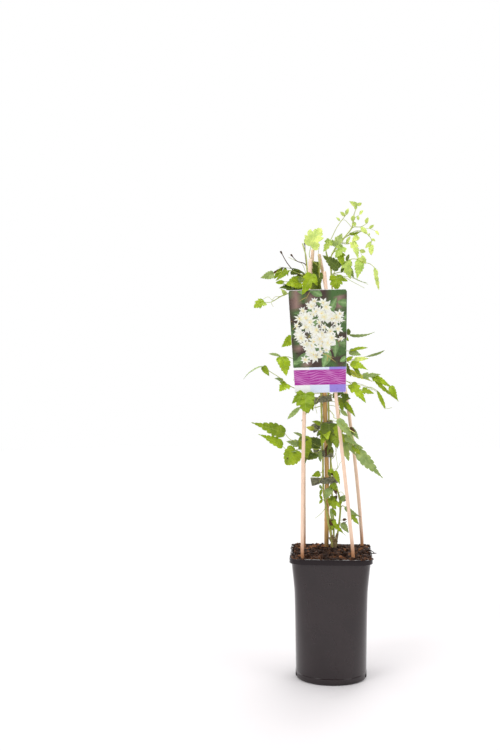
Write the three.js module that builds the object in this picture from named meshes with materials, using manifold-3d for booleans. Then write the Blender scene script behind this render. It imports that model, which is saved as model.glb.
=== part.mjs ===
// A young climbing clematis in a deep nursery pot, held up by four thin canes and a bamboo cane,
// with tape ties and a plastic picture card. Millimetres, +Z up, origin at the middle of the pot's
// foot, +X to the right and +Y to the back as the plant is seen from the front.
import * as THREE from "three";
import { mergeGeometries, mergeVertices } from "three/addons/utils/BufferGeometryUtils.js";
import Module from "manifold-3d";

const wasm = await Module();
wasm.setup();

// ---- driving dimensions ----------------------------------------------------------------------

const GAP = 0.3; // between a piece and what it rests on
const MERGE = 1e-3; // corners nearer than this are one

const POT = {
  height: 212,
  lipHeight: 9,
  lipReach: 70, // from the axis to the middle of a side, outside
  lowReach: 60.3, // of the wall, at the foot
  taper: 0.008, // how the wall widens with height
  flare: 0.087, // how much more it widens near the lip
  flareFrom: 153, // height where that starts
  flareSoft: 12, // how softly it does
  footReach: 61,
  footHeight: 10, // of the rim round the foot
  wall: 1.8,
  floor: 2.5,
  footEdge: 2, // rounding where the wall meets the floor
  lipEdge: 1, // rounding of the lip
  rings: [105, 140, 168], // heights of the rings between foot and lip
  cornerShare: 0.26, // corner radius over reach, at the rim
  footSquare: 0.06, // how far from round the foot is
  slotAngles: [16, 164, 196, 344],
  slotWidth: 12,
  slotHeight: 8,
  slotDepth: 24, // of the block that cuts a slot
  turn: -4, // degrees, from above
};

const SOIL = {
  edge: 208.5,
  mound: 4, // how far the middle stands over the edge
  lumps: 1.3,
  lumpWaves: [0.31, 0.27, 0.13, 0.21],
  rings: [1, 0.84, 0.62, 0.38, 0.16, 0],
  holeClearance: 0.35,
  holeUnder: 1, // how far a hole goes on under what stands in it
};

const THIN_CANE = { radius: 3, sides: 8, steps: 8 };
const BAMBOO = {
  radius: 4,
  sides: 10,
  steps: 6,
  jointRadius: 4.7,
  jointHalf: 1.5,
  jointHeights: [262, 398, 530],
};

// Centre lines, from the buried end to the top.
const CANES = {
  cane_front_left: [[-49.5, -45.3, 155], [-51.5, -47, 207], [-46.9, -27.8, 488], [-36.4, -12, 715]],
  cane_front_right: [[36.3, -46.4, 155], [34.7, -45, 207], [6, -26, 488], [-12, -12, 694]],
  cane_back_left: [[-44.3, 48.5, 155], [-44.2, 49, 207], [-43.8, 27.5, 488], [-31, 8, 733]],
  cane_back_right: [
    [53, 42, 155], [58, 48, 208], [56.3, 47.3, 246], [44.3, 40, 368], [28, 32, 484], [-15, 12, 702],
    [-20, 9, 725],
  ],
};
const CANE_CENTRE = [[-6.5, 29, 30], [-6, 29, 210], [-5.3, 29, 347], [-8.4, 29, 450], [-12, 27, 600]];

const LABEL = {
  low: 488.2, // middle of its foot
  middle: -20,
  tall: 175.8,
  lowHalf: 43.5,
  highHalf: 50.5,
  turn: 1.4, // degrees, in its own plane
  thick: 0.8,
  cornerRadius: 6,
};

const TIE = { band: 11, thick: 1, halfDepth: 4.4, tailThick: 1.6, tailBand: 8.8, turnSteps: 4 };
const TIES = {
  tie_1: { height: 473, left: 10.8, right: 11.5, tail: 12, slant: -9, droop: 1 },
  tie_2: { height: 428, left: 10.8, right: 13, tail: 13, slant: -12, droop: 2 },
  tie_3: { height: 376, left: 10.8, right: 11.5, tail: 12, slant: 3, droop: 0 },
  tie_4: { height: 331, left: 10.8, right: 18, tail: 17, slant: -3, droop: 1 },
};

const STEM = {
  sides: 5,
  stepsPerPoint: 1.4, // cross-sections of a stem for each point of its line
  backSteps: 14,
  forkSteps: 8,
  stalkSides: 3,
  stalkRadius: 0.9,
  stubRadius: 1.2,
};
const SAMPLES = 400; // points along a line when a height is looked up
const BLADE = {
  thick: 0.7,
  bow: 0.07, // rise of the middle over the length
  bowRange: [0.4, 1.6],
  fold: 0.16, // rise of the margin over the width
  ripple: 0.05,
  waves: 9,
  skyward: 0.25, // how much a face leans to the sky
  sway: 50, // degrees
};

// Half outlines of the leaflets, from base to tip: share of the half width, share of the length.
const SHAPES = {
  ovate: [[0.86, 0.14], [0.8, 0.28], [1, 0.42], [0.72, 0.54], [0.72, 0.7]],
  lance: [[0.8, 0.18], [0.66, 0.3], [1, 0.46], [0.62, 0.58], [0.56, 0.76]],
  lobed: [[0.8, 0.1], [1, 0.34], [0.48, 0.38], [0.66, 0.66]],
  maple: [[0.9, 0.06], [1, 0.28], [0.7, 0.36], [0.86, 0.66], [0.5, 0.66], [0.4, 0.84]],
  round: [[0.88, 0.12], [0.86, 0.36], [1, 0.58], [0.62, 0.86]],
  slip: [[0.8, 0.26], [0.9, 0.6]],
};
const RIB = [0.5]; // where the midrib has a point between base and tip
const SUNK_END = 0.995; // the last leaflet starts just inside its stalk's end

// ---- the plant ------------------------------------------------------------------------------

// A leaflet: its outline, where along the stalk it grows (0 to 1), where its tip is, its width, and
// how far its face is turned from the front about its own length, in degrees.
const leaf = (shape, along, tip, width, turn = 0) => ({ shape, along, tip, width, turn });

// A side shoot: the height at which it leaves the stem, the points its stalk runs through, its leaflets.
const sprig = (from, way, ...leaves) => ({ from, way, leaves });

const VINES = {
  vine_left: {
    radius: 1.65,
    stem: [
      [4, 16, 192], [3.6, 16, 214], [1.6, 17, 232], [-0.9, 18.5, 246], [-4, 19.8, 262],
      [-7.5, 20.4, 286], [-11, 25, 312], [-11.7, 26.9, 326], [-12.3, 26.8, 376], [-14.1, 26.8, 430],
      [-15.6, 26.4, 480], [-21, 20, 535], [-29, 9, 595], [-38, 0, 655], [-41, -1, 692],
      [-43, 0, 720], [-49, 0, 743],
    ],
    sprigs: [
      sprig(296, [[-15, 8, 301]],
        leaf("slip", 1, [-20, 4, 309], 5),
        leaf("slip", 0.9, [-20, 4, 294], 5)),
      sprig(314, [[0, 3, 320]],
        leaf("ovate", 1, [-11, -3, 300], 14)),
      sprig(346, [[-19, 8, 346]],
        leaf("ovate", 1, [-34, -2, 342], 11)),
      sprig(387, [[-28, -2, 382], [-44, -14, 389], [-58, -22, 391], [-72, -28, 387], [-85, -33, 398]],
        leaf("lance", 1, [-126, -44, 419], 17),
        leaf("round", 0.72, [-79, -32, 366], 32),
        leaf("round", 0.36, [-42, -18, 373], 24)),
      sprig(389, [[-26, -2, 389], [-40, -14, 394], [-56, -21, 402], [-72, -27, 409], [-81, -32, 420]],
        leaf("lance", 1, [-138, -46, 439], 22),
        leaf("lobed", 0.56, [-78, -24, 405], 18),
        leaf("lobed", 0.42, [-55, -24, 414], 18)),
      sprig(392, [[-18, 10, 393]],
        leaf("round", 1, [-39, 2, 408], 20)),
      sprig(416, [[-29, 15, 422]],
        leaf("ovate", 1, [-43, 9, 426], 9)),
      sprig(442, [[-18, 10, 431]],
        leaf("ovate", 1, [-33, 4, 436], 9, 30)),
      sprig(462, [[-33, 4, 459], [-54, -22, 463]],
        leaf("slip", 1, [-76, -30, 443], 8)),
      sprig(484, [[-33, 0, 486], [-36.5, -24, 487], [-38, -36, 487], [-46, -38.5, 487]],
        leaf("maple", 1, [-46, -46, 456], 34),
        leaf("lance", 0.55, [-52, -27, 439], 17),
        leaf("slip", 0.6, [-32, -18, 456], 7),
        leaf("slip", 0.7, [-41, -27, 452], 7)),
      sprig(510,
        [
          [-47, 0, 491], [-64, -12, 495], [-78, -18, 503], [-89, -22, 513], [-106, -26, 524],
          [-118, -28, 533],
        ],
        leaf("lance", 1, [-151, -34, 511], 8, 80),
        leaf("ovate", 1, [-107, -28, 516], 11),
        leaf("lobed", 0.6, [-90, -27, 490], 21)),
      sprig(548, [[-45, 4, 541], [-62, -8, 544], [-78, -16, 549], [-87, -19, 548]],
        leaf("ovate", 1, [-78, -26, 516], 25),
        leaf("lance", 0.5, [-65, -14, 507], 12)),
      sprig(594, [[-43, 4, 589], [-57, -6, 584], [-67, -11, 581]],
        leaf("ovate", 1, [-86, -18, 565], 17)),
      sprig(664, [[-61, -4, 660], [-76, -9, 656], [-88, -13, 651], [-104, -18, 642], [-116, -20, 642]],
        leaf("maple", 1, [-133, -24, 632], 20),
        leaf("ovate", 0.5, [-87, -18, 665], 8)),
      sprig(674, [[-52, 0, 668], [-68, -6, 666]],
        leaf("ovate", 1, [-91, -12, 673], 11, 80),
        leaf("ovate", 0.4, [-78, -2, 663], 15)),
      sprig(676, [[-44, 0, 707], [-59, 0, 713], [-69, 0, 724]]),
      sprig(680, [[-62, -6, 694], [-75, -8, 708], [-87, -8, 729]]),
      sprig(700, [[-44, 4, 722], [-45, 5, 744]]),
      sprig(682, [[-27, -12, 687], [-34, -23, 689]],
        leaf("lobed", 1, [-51, -30, 654], 24),
        leaf("ovate", 1, [-25, -27, 669], 11)),
      sprig(682, [[-52, -6, 677], [-68, -10, 677], [-81, -13, 677]],
        leaf("ovate", 0.35, [-79, -22, 672], 24),
        leaf("ovate", 0.2, [-59, -2, 690], 18),
        leaf("slip", 1, [-96, -16, 675], 7)),
      sprig(692, [[-49, -8, 689], [-70, -14, 696], [-87, -19, 694], [-100, -22, 690]],
        leaf("ovate", 1, [-122, -27, 683], 14),
        leaf("lance", 0.5, [-48, 4, 694], 15, 80),
        leaf("ovate", 0.62, [-96, -24, 678], 10),
        leaf("ovate", 0.55, [-75, -18, 686], 10, 80)),
    ],
  },
  vine_middle: {
    radius: 1.7,
    stem: [
      [7, 22, 192], [6.7, 22, 226], [5.9, 22, 254], [5, 22.2, 280], [4.2, 23.5, 300],
      [1.8, 26.8, 324], [1, 27, 376], [-1.6, 27, 428], [-3.2, 26.8, 480], [-6, 22, 540],
      [-10, 15, 600], [-16, 7, 655], [-20, 1, 692], [-19, 0, 716],
    ],
    sprigs: [
      sprig(240, [[4, 10, 247]],
        leaf("slip", 1, [-3, 8, 266], 6)),
      sprig(250, [[9, 8, 256]],
        leaf("lobed", 1, [21, 3, 244], 10)),
      sprig(295, [[11, 8, 308]],
        leaf("slip", 1, [2, 5, 295], 7)),
      sprig(303, [[0, 6, 304]],
        leaf("lobed", 1, [9, -1, 284], 15),
        leaf("slip", 0.8, [15, -2, 288], 8)),
      sprig(317, [[2, 4, 328]],
        leaf("lobed", 1, [9, 0, 317], 13)),
      sprig(350, [[6, 4, 350]],
        leaf("ovate", 1, [15, -3, 328], 10),
        leaf("slip", 0.8, [-6, 0, 351], 8)),
      sprig(388, [[0, 7, 392]],
        leaf("ovate", 1, [-6, 4, 378], 11)),
      sprig(412, [[-3, 4, 425], [-4, -4, 432]],
        leaf("round", 1, [-4, -14, 401], 31),
        leaf("lance", 1, [12, -12, 397], 15),
        leaf("ovate", 1, [-19, -8, 410], 12),
        leaf("lobed", 0.9, [-3, -20, 390], 25)),
      sprig(455, [[4, -10, 448], [2.5, -34, 446], [9, -44, 444]],
        leaf("lance", 1, [37, -44, 408], 14),
        leaf("slip", 0.95, [40, -48, 420], 8, 80)),
      sprig(684, [[-20, 3, 693]],
        leaf("ovate", 1, [-24, 0, 666], 16)),
      sprig(700, [[-26, 4, 712]],
        leaf("ovate", 1, [-28, 2, 691], 14)),
      sprig(702, [[-37, -2, 720], [-35, -6, 739]],
        leaf("maple", 1, [-17, -11, 769], 37)),
    ],
  },
  vine_right: {
    radius: 1.65,
    stem: [
      [10.4, 27, 192], [10.8, 27, 214], [12.4, 25, 232], [14.4, 23, 248], [17.1, 22, 270],
      [17.6, 22.4, 294], [13.4, 25.8, 313], [8.8, 28.8, 328], [5, 30.6, 342], [1.2, 31.2, 368],
      [-1.2, 31.2, 428], [-2.6, 31, 478], [3, 27, 520], [9, 19, 555], [13, 11, 600],
    ],
    sprigs: [
      sprig(258, [[20, 12, 259]],
        leaf("ovate", 1, [31, 6, 243], 11),
        leaf("slip", 1, [28, 8, 263], 4, 80)),
      sprig(284, [[22, 12, 289], [35, 6, 274]],
        leaf("lance", 0.5, [52, 2, 271], 9),
        leaf("lobed", 1, [48, 2, 258], 12)),
      sprig(300, [[18, 11, 299]],
        leaf("ovate", 1, [28, 8, 309], 10)),
      sprig(416, [[23, 2, 409], [30, -6, 400], [39, -12, 392], [45, -16, 387]],
        leaf("lance", 1, [86, -34, 343], 20),
        leaf("lance", 0.42, [51, -20, 392], 11),
        leaf("round", 0.45, [30, -6, 369], 13),
        leaf("ovate", 0.72, [41, -12, 380], 10),
        leaf("slip", 0.28, [29, 2, 387], 6)),
      sprig(484, [[16, 10, 474], [25, 8, 469]],
        leaf("lance", 0.6, [36, 10, 449], 11),
        leaf("ovate", 1, [43, 12, 443], 8),
        leaf("ovate", 0.3, [23, 2, 486], 11)),
      sprig(508, [[29, -3, 505], [40, -10, 496], [55, -16, 492], [65, -20, 497], [77, -24, 491]],
        leaf("slip", 1, [90, -30, 460], 7),
        leaf("lobed", 0.5, [58, -22, 470], 19),
        leaf("lobed", 0.72, [72, -24, 486], 12)),
      sprig(518, [[32, -5, 522], [45, -12, 515], [58, -18, 516], [70, -22, 517]],
        leaf("lance", 1, [112, -42, 474], 12, 80),
        leaf("lobed", 0.8, [83, -28, 519], 11),
        leaf("lance", 0.42, [70, -18, 506], 12),
        leaf("lobed", 1, [85, -28, 494], 12)),
      sprig(538, [[27, -2, 540], [34, -6, 537]],
        leaf("lance", 1, [62, -18, 526], 15),
        leaf("ovate", 0.45, [34, -10, 514], 15),
        leaf("slip", 1, [50, -12, 515], 8)),
      sprig(544, [[26, -3, 541], [44, -9, 545], [59, -14, 549]],
        leaf("slip", 0.45, [37, -10, 549], 7),
        leaf("ovate", 0.7, [64, -16, 546], 8),
        leaf("slip", 1, [90, -24, 560], 6, 80)),
      sprig(558, [[32, -4, 558]],
        leaf("ovate", 1, [51, -12, 551], 12),
        leaf("slip", 1, [62, -14, 564], 6)),
      sprig(584, [[32, -4, 586]],
        leaf("lance", 1, [74, -14, 591], 8, 80),
        leaf("slip", 0.9, [29, -6, 597], 8),
        leaf("slip", 0.5, [30, -6, 575], 6)),
    ],
  },
  vine_top: {
    radius: 1.65,
    stem: [
      [3.5, 31.5, 192], [3, 33, 232], [0.4, 36.2, 258], [-5, 36.8, 282], [-10.4, 33.6, 306],
      [-11.6, 31.2, 324], [-12.4, 31.3, 376], [-14, 31.3, 430], [-15, 31, 476], [-11, 34.6, 512],
      [-3, 33, 545], [-1, 24, 575], [-1, 13, 605], [1, 6, 640], [2, 0, 670], [0, -3, 692],
      [0, -6, 721], [12, -8, 740], [24, -10, 755], [36, -10, 772], [38, -10, 790],
    ],
    sprigs: [
      sprig(678, [[8, -9, 687]],
        leaf("maple", 1, [9, -12, 663], 24),
        leaf("slip", 0.8, [28, -12, 678], 8)),
      sprig(684,
        [[10, -10, 701], [25, -15, 712], [38, -18, 716], [53, -22, 710], [65, -24, 707], [75, -26, 698]],
        leaf("lobed", 0.42, [32, -20, 681], 20),
        leaf("lance", 0.66, [42, -26, 680], 18),
        leaf("slip", 0.42, [30, -16, 724], 6),
        leaf("slip", 0.6, [59, -20, 715], 7),
        leaf("slip", 1, [76, -28, 685], 6),
        leaf("slip", 0.95, [79, -32, 662], 6),
        leaf("slip", 0.28, [25, -14, 710], 7, 80)),
      sprig(688, [[0, -6, 696], [12, -14, 700]],
        leaf("ovate", 1, [-16, -21, 722], 19)),
      sprig(690, [[20, -6, 694], [32, -10, 690]],
        leaf("slip", 1, [60, -22, 675], 5, 80)),
      sprig(700, [[-9, -4, 730], [0, -6, 751], [11, -8, 773], [25, -10, 792]],
        leaf("slip", 1, [29, -12, 803], 6),
        leaf("slip", 0.97, [15, -12, 797], 6)),
      sprig(706, [[-9, -2, 737], [-2, -6, 749]],
        leaf("lobed", 1, [-14, -11, 728], 15)),
      sprig(728, [[8, -8, 737], [20, -12, 737]],
        leaf("lobed", 0.45, [18, -14, 760], 22),
        leaf("lobed", 1, [6, -16, 717], 19)),
      sprig(744, [[28, -10, 742], [40, -14, 747], [45, -16, 755]],
        leaf("lobed", 0.6, [45, -20, 716], 14),
        leaf("ovate", 1, [34, -20, 745], 11),
        leaf("slip", 0.3, [32, -14, 755], 6)),
      sprig(752, [[42, -13, 764], [58, -18, 760], [67, -20, 750], [67, -20, 739]],
        leaf("round", 1, [67, -22, 722], 9),
        leaf("slip", 0.74, [62, -24, 759], 6),
        leaf("slip", 0.84, [74, -20, 746], 6),
        leaf("slip", 0.9, [57, -20, 734], 6),
        leaf("lance", 0.18, [51, -20, 763], 8, 80)),
      sprig(768, [[39, -10, 771], [50, -14, 771], [59, -16, 776]],
        leaf("slip", 0.62, [61, -18, 758], 8),
        leaf("slip", 1, [62, -18, 787], 7)),
      sprig(778, [[36, -9, 781]],
        leaf("slip", 1, [39, -12, 791], 8),
        leaf("slip", 0.5, [41, -12, 772], 8)),
      sprig(796, [[44, -10, 808]],
        leaf("ovate", 1, [30, -14, 815], 9),
        leaf("slip", 0.9, [40, -12, 801], 6),
        leaf("slip", 1, [52, -12, 812], 6)),
    ],
  },
};

// The stem at the back climbs straight behind the bamboo and forks behind the card. Its leaflets
// are set out by a rule: stalks leave by turns to the left, to the back and to the right.
const BACK_VINE = {
  radius: 1.5,
  stem: [
    [-4, 41.5, 192], [-5.6, 41.5, 300], [-6.6, 41.5, 400], [-9, 41, 478], [-17, 40, 530],
    [-20, 34, 590], [-21, 27, 650], [-24, 22, 690],
  ],
  branch: { from: 486, way: [[-4, 44, 510], [0, 44, 545], [-2, 40, 600], [-6, 33, 650], [-10, 28, 676]] },
};
const BACK_SPRIGS = {
  count: 8,
  first: 502,
  last: 652,
  sides: [150, 95, 50], // directions of the stalks, in degrees from +X
  swing: 30, // how far a stalk may stray from its direction
  seeds: 300,
  seedStep: 5,
  stalk: [14, 24],
  rise: 8, // of a stalk, over its length
  length: [22, 30],
  widthShare: 0.58,
  fan: [-50, 0, 50], // directions of the three leaflets, from their stalk's
  outward: 0.75, // reach and drop of a leaflet, as shares of its length
  drop: [0.3, 0.8],
  shapes: ["ovate", "lance", "lobed"],
};
const CROWN = { foot: [7, 22, 192], top: [6.8, 22, 233], radius: 4, sides: 9 };

// ---- helpers ---------------------------------------------------------------------------------

const vector = (p) => new THREE.Vector3(...p);
const degrees = THREE.MathUtils.degToRad;
const mix = THREE.MathUtils.lerp;

// A number from 0 to 1 that looks random and is the same each time for the same seed.
function draw(seed) {
  const s = Math.sin(seed * 12.9898) * 43758.5453;
  return s - Math.floor(s);
}

// A closed geometry as a solid: shared corners merged, faces without area dropped.
function solid(geometry) {
  const bare = geometry.index ? geometry.toNonIndexed() : geometry.clone();
  const plain = new THREE.BufferGeometry().setAttribute("position", bare.attributes.position);
  const merged = mergeVertices(plain, MERGE);
  const corners = merged.index.array;
  const kept = [];
  for (let i = 0; i < corners.length; i += 3) {
    const [a, b, c] = [corners[i], corners[i + 1], corners[i + 2]];
    if (a !== b && b !== c && c !== a) kept.push(a, b, c);
  }
  return new wasm.Manifold(
    new wasm.Mesh({
      numProp: 3,
      vertProperties: merged.attributes.position.array,
      triVerts: new Uint32Array(kept),
    }),
  );
}

// The pieces grown together as one body, without loose scraps or sealed hollows.
function grownTogether(solids) {
  const all = solids.reduce((sum, next) => sum.add(next));
  return all.decompose().reduce((most, body) => (body.volume() > most.volume() ? body : most));
}

function mesh(name, made, look) {
  const { vertProperties, triVerts, numProp } = made.getMesh();
  const positions = new Float32Array((vertProperties.length / numProp) * 3);
  for (let i = 0; i < positions.length / 3; i++)
    positions.set(vertProperties.subarray(i * numProp, i * numProp + 3), i * 3);
  const geometry = new THREE.BufferGeometry();
  geometry.setAttribute("position", new THREE.BufferAttribute(positions, 3));
  geometry.setIndex(new THREE.BufferAttribute(triVerts, 1));
  geometry.computeVertexNormals();
  const piece = new THREE.Mesh(geometry, new THREE.MeshStandardMaterial(look));
  piece.name = name;
  return piece;
}

const curveThrough = (points) => new THREE.CatmullRomCurve3(points.map(vector), false, "centripetal");

function disc(radius, sides) {
  const shape = new THREE.Shape();
  for (let i = 0; i < sides; i++) {
    const angle = (i / sides) * 2 * Math.PI;
    shape[i ? "lineTo" : "moveTo"](radius * Math.cos(angle), radius * Math.sin(angle));
  }
  return shape.closePath();
}

const rod = (curve, radius, sides, steps) =>
  new THREE.ExtrudeGeometry(disc(radius, sides), { steps, extrudePath: curve });

// The point of a climbing stem at a height.
function pointAtHeight(curve, height) {
  const points = curve.getSpacedPoints(SAMPLES);
  return points.reduce((near, p) => (Math.abs(p.z - height) < Math.abs(near.z - height) ? p : near));
}

// ---- pot and soil ----------------------------------------------------------------------------

const RING = { quarter: 8, quarters: 4 }; // points in a quarter of a ring, and quarters

// A revolved profile whose rings are squared off: round at the foot, square with round corners at
// the rim. Each quarter has one point in the middle of a side and the rest round a corner.
function squaredLathe(profile, raise = () => 0) {
  const points = profile.map(([reach, height]) => new THREE.Vector2(reach, height));
  const geometry = new THREE.LatheGeometry(points, RING.quarter * RING.quarters);
  const position = geometry.attributes.position;
  for (let i = 0; i < position.count; i++) {
    const [reach, height] = profile[i % profile.length];
    const step = Math.floor(i / profile.length);
    const place = step % RING.quarter;
    const square = mix(POT.footSquare, 1, THREE.MathUtils.clamp(height / POT.height, 0, 1));
    const corner = reach * mix(1, POT.cornerShare, square);
    const angle = ((place - 1) / (RING.quarter - 2)) * (Math.PI / 2);
    const side = new THREE.Vector2(reach, 0);
    if (place > 0) {
      side.set(Math.cos(angle), Math.sin(angle));
      side.multiplyScalar(corner).addScalar(reach - corner);
    }
    side.rotateAround(new THREE.Vector2(), (Math.floor(step / RING.quarter) * Math.PI) / 2);
    position.setXYZ(i, side.x, side.y, height + raise(side.x, side.y, height));
  }
  return geometry;
}

// Outside of the wall at a height: nearly upright at first, then flaring to the lip.
function wallReachAt(height) {
  const over = height - POT.flareFrom;
  return POT.lowReach + POT.taper * height + (POT.flare * (over + Math.hypot(over, POT.flareSoft))) / 2;
}

function pot() {
  const { height, lipReach, lipEdge, footReach, footHeight, footEdge, floor, rings } = POT;
  const lipLow = height - POT.lipHeight;
  const inside = (at) => wallReachAt(at) - POT.wall;
  const body = squaredLathe([
    [0, 0],
    [footReach - footEdge, 0],
    [footReach, footEdge],
    [footReach, footHeight],
    ...[footHeight + 1, ...rings, lipLow].map((at) => [wallReachAt(at), at]),
    [lipReach - lipEdge, lipLow],
    [lipReach, lipLow + lipEdge],
    [lipReach, height - lipEdge],
    [lipReach - lipEdge, height],
    [inside(height) + lipEdge, height],
    [inside(height), height - lipEdge],
    ...[...rings.toReversed(), floor].map((at) => [inside(at), at]),
    [0, floor],
  ]);
  const slot = new THREE.BoxGeometry(POT.slotDepth, POT.slotWidth, POT.slotHeight * 2);
  slot.translate(POT.footReach, 0, 0);
  const made = POT.slotAngles.reduce(
    (rest, angle) => rest.subtract(solid(slot.clone().rotateZ(degrees(angle)))),
    solid(body),
  );
  return made.rotate([0, 0, POT.turn]);
}

// Height of the soil's surface over a spot: a low mound with lumps.
function soilRise(x, y) {
  const out = Math.min(1, Math.hypot(x, y) / wallReachAt(SOIL.edge));
  const [a, b, c, d] = SOIL.lumpWaves;
  const lumps = Math.sin(x * a + 1) * Math.cos(y * b) + Math.sin(x * c - y * d) / 2;
  return SOIL.mound * (1 - out * out) + SOIL.lumps * lumps * (1 - out);
}

function soil(holes) {
  const low = POT.floor + GAP;
  const inside = (height) => wallReachAt(height) - POT.wall - GAP;
  const { edge, rings } = SOIL;
  const body = squaredLathe(
    [
      [0, low],
      ...[low, ...POT.rings].map((height) => [inside(height), height]),
      ...rings.map((share) => [share * inside(edge), edge]),
    ],
    (x, y, height) => (height === edge ? soilRise(x, y) : 0),
  );
  return holes.reduce((made, hole) => made.subtract(hole), solid(body.rotateZ(degrees(POT.turn))));
}

// A plain hole in the soil along a cane or stem, from just under its buried end.
function hole(points, radius, sides, steps) {
  const [[x, y, z], ...rest] = points;
  const curve = curveThrough([[x, y, z - SOIL.holeUnder], ...rest]);
  return solid(rod(curve, (radius + SOIL.holeClearance) / Math.cos(Math.PI / sides), sides, steps));
}

// ---- canes -----------------------------------------------------------------------------------

function bamboo(curve) {
  const joints = BAMBOO.jointHeights.map((height) => {
    const middle = pointAtHeight(curve, height);
    const ends = [-1, 1].map((way) => middle.clone().add(new THREE.Vector3(0, 0, way * BAMBOO.jointHalf)));
    return solid(rod(new THREE.LineCurve3(...ends), BAMBOO.jointRadius, BAMBOO.sides, 1));
  });
  return grownTogether([solid(rod(curve, BAMBOO.radius, BAMBOO.sides, BAMBOO.steps)), ...joints]);
}

// ---- card ------------------------------------------------------------------------------------

// The card rests against the fronts of the two canes and leans back with them.
function label(leftCane, rightCane) {
  const { low, middle, tall, lowHalf, highHalf, turn, thick, cornerRadius: r } = LABEL;
  const back = (height) =>
    Math.min(pointAtHeight(leftCane, height).y, pointAtHeight(rightCane, height).y) - THIN_CANE.radius - GAP;
  const shape = new THREE.Shape();
  shape.moveTo(-lowHalf, 0);
  shape.lineTo(lowHalf, 0);
  shape.lineTo(highHalf, tall - r);
  shape.absarc(highHalf - r, tall - r, r, 0, Math.PI / 2);
  shape.absarc(r - highHalf, tall - r, r, Math.PI / 2, Math.PI);
  shape.closePath();
  const card = new THREE.ExtrudeGeometry(shape, { depth: thick, bevelEnabled: false, curveSegments: 3 });
  const lean = Math.atan2(back(low + tall) - back(low), tall);
  card.rotateZ(degrees(turn)).rotateX(Math.PI / 2 - lean);
  return solid(card.translate(middle, back(low), low));
}

// ---- ties ------------------------------------------------------------------------------------

// A loop of tape round the bamboo and the stems beside it, with its two ends pinched to a flat tail.
function tie({ height, left, right, tail, slant, droop }, cane) {
  const middle = pointAtHeight(cane, height);
  const { band, thick, halfDepth, tailThick, tailBand, turnSteps } = TIE;
  const loop = (grow) => {
    const r = halfDepth + grow;
    const path = new THREE.Path();
    path.absarc(right - halfDepth, 0, r, -Math.PI / 2, Math.PI / 2);
    path.absarc(halfDepth - left, 0, r, Math.PI / 2, (3 * Math.PI) / 2);
    return path.getPoints(turnSteps);
  };
  const ring = new THREE.Shape(loop(thick));
  ring.holes.push(new THREE.Path(loop(0)));
  const tape = new THREE.ExtrudeGeometry(ring, { depth: band, bevelEnabled: false });
  const end = new THREE.BoxGeometry(tail, tailThick, tailBand);
  end.translate(-left - (thick + tail) / 2 + GAP, 0, band / 2 - droop);
  const place = new THREE.Matrix4().makeTranslation(middle);
  place.multiply(new THREE.Matrix4().makeRotationY(degrees(slant)));
  place.multiply(new THREE.Matrix4().makeTranslation(0, 0, -band / 2));
  return solid(tape.applyMatrix4(place)).add(solid(end.applyMatrix4(place)));
}

// ---- leafy stems -----------------------------------------------------------------------------

// A flat sheet in x and y given thickness and lifted in z, with both faces split alike.
function thicken(sheet, depth, lift) {
  const flat = sheet.attributes.position;
  const count = flat.count;
  const faces = sheet.index.array;
  const points = [];
  for (const side of [depth / 2, -depth / 2])
    for (let i = 0; i < count; i++) {
      const [x, y] = [flat.getX(i), flat.getY(i)];
      points.push(x, y, lift(x, y) + side);
    }
  const index = [...faces];
  const edges = new Set(); // each face's edges, in their order round it
  for (let i = 0; i < faces.length; i += 3) {
    const [a, b, c] = [faces[i], faces[i + 1], faces[i + 2]];
    index.push(c + count, b + count, a + count);
    [[a, b], [b, c], [c, a]].forEach(([from, to]) => edges.add(`${from} ${to}`));
  }
  for (const edge of edges) {
    const [a, b] = edge.split(" ").map(Number);
    if (!edges.has(`${b} ${a}`)) index.push(b, a, a + count, a + count, b + count, b);
  }
  const geometry = new THREE.BufferGeometry();
  geometry.setAttribute("position", new THREE.Float32BufferAttribute(points, 3));
  return geometry.setIndex(index);
}

// A leaflet lying along +Y: two halves that share the midrib, folded up from it and bowed.
function blade(shape, length, width, seed) {
  const half = SHAPES[shape].map(([out, along]) => new THREE.Vector2((out * width) / 2, along * length));
  const rib = [...RIB].reverse().map((along) => new THREE.Vector2(0, along * length));
  const outline = [new THREE.Vector2(0, 0), ...half, new THREE.Vector2(0, length), ...rib];
  const right = new THREE.ShapeGeometry(new THREE.Shape(outline));
  const left = new THREE.ShapeGeometry(new THREE.Shape(outline.map((p) => new THREE.Vector2(-p.x, p.y))));
  for (const half of [left, right]) ["normal", "uv"].forEach((name) => half.deleteAttribute(name));
  const bow = BLADE.bow * length * mix(...BLADE.bowRange, draw(seed));
  const lift = (x, y) => {
    const along = y / length;
    const out = Math.abs(x) / width;
    const ripple = BLADE.ripple * width * Math.sin(along * BLADE.waves + seed) * Math.min(1, 4 * out);
    return bow * Math.sin(Math.PI * along) + BLADE.fold * width * out + ripple;
  };
  return thicken(mergeVertices(mergeGeometries([left, right]), MERGE), BLADE.thick, lift);
}

// A leaflet from its base to its tip, with its upper face to the front and a little to the sky,
// turned about its own length.
function leaflet({ shape, tip, width, turn }, base, seed) {
  const along = vector(tip).sub(base);
  const length = along.length();
  along.normalize();
  const up = new THREE.Vector3(0, -1, BLADE.skyward);
  up.addScaledVector(along, -up.dot(along)).normalize();
  up.applyAxisAngle(along, degrees(turn + BLADE.sway * (draw(seed + 0.5) - 0.5)));
  const across = new THREE.Vector3().crossVectors(along, up);
  const placed = new THREE.Matrix4().makeBasis(across, along, up).setPosition(base);
  return solid(blade(shape, length, width, seed).applyMatrix4(placed));
}

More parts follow.
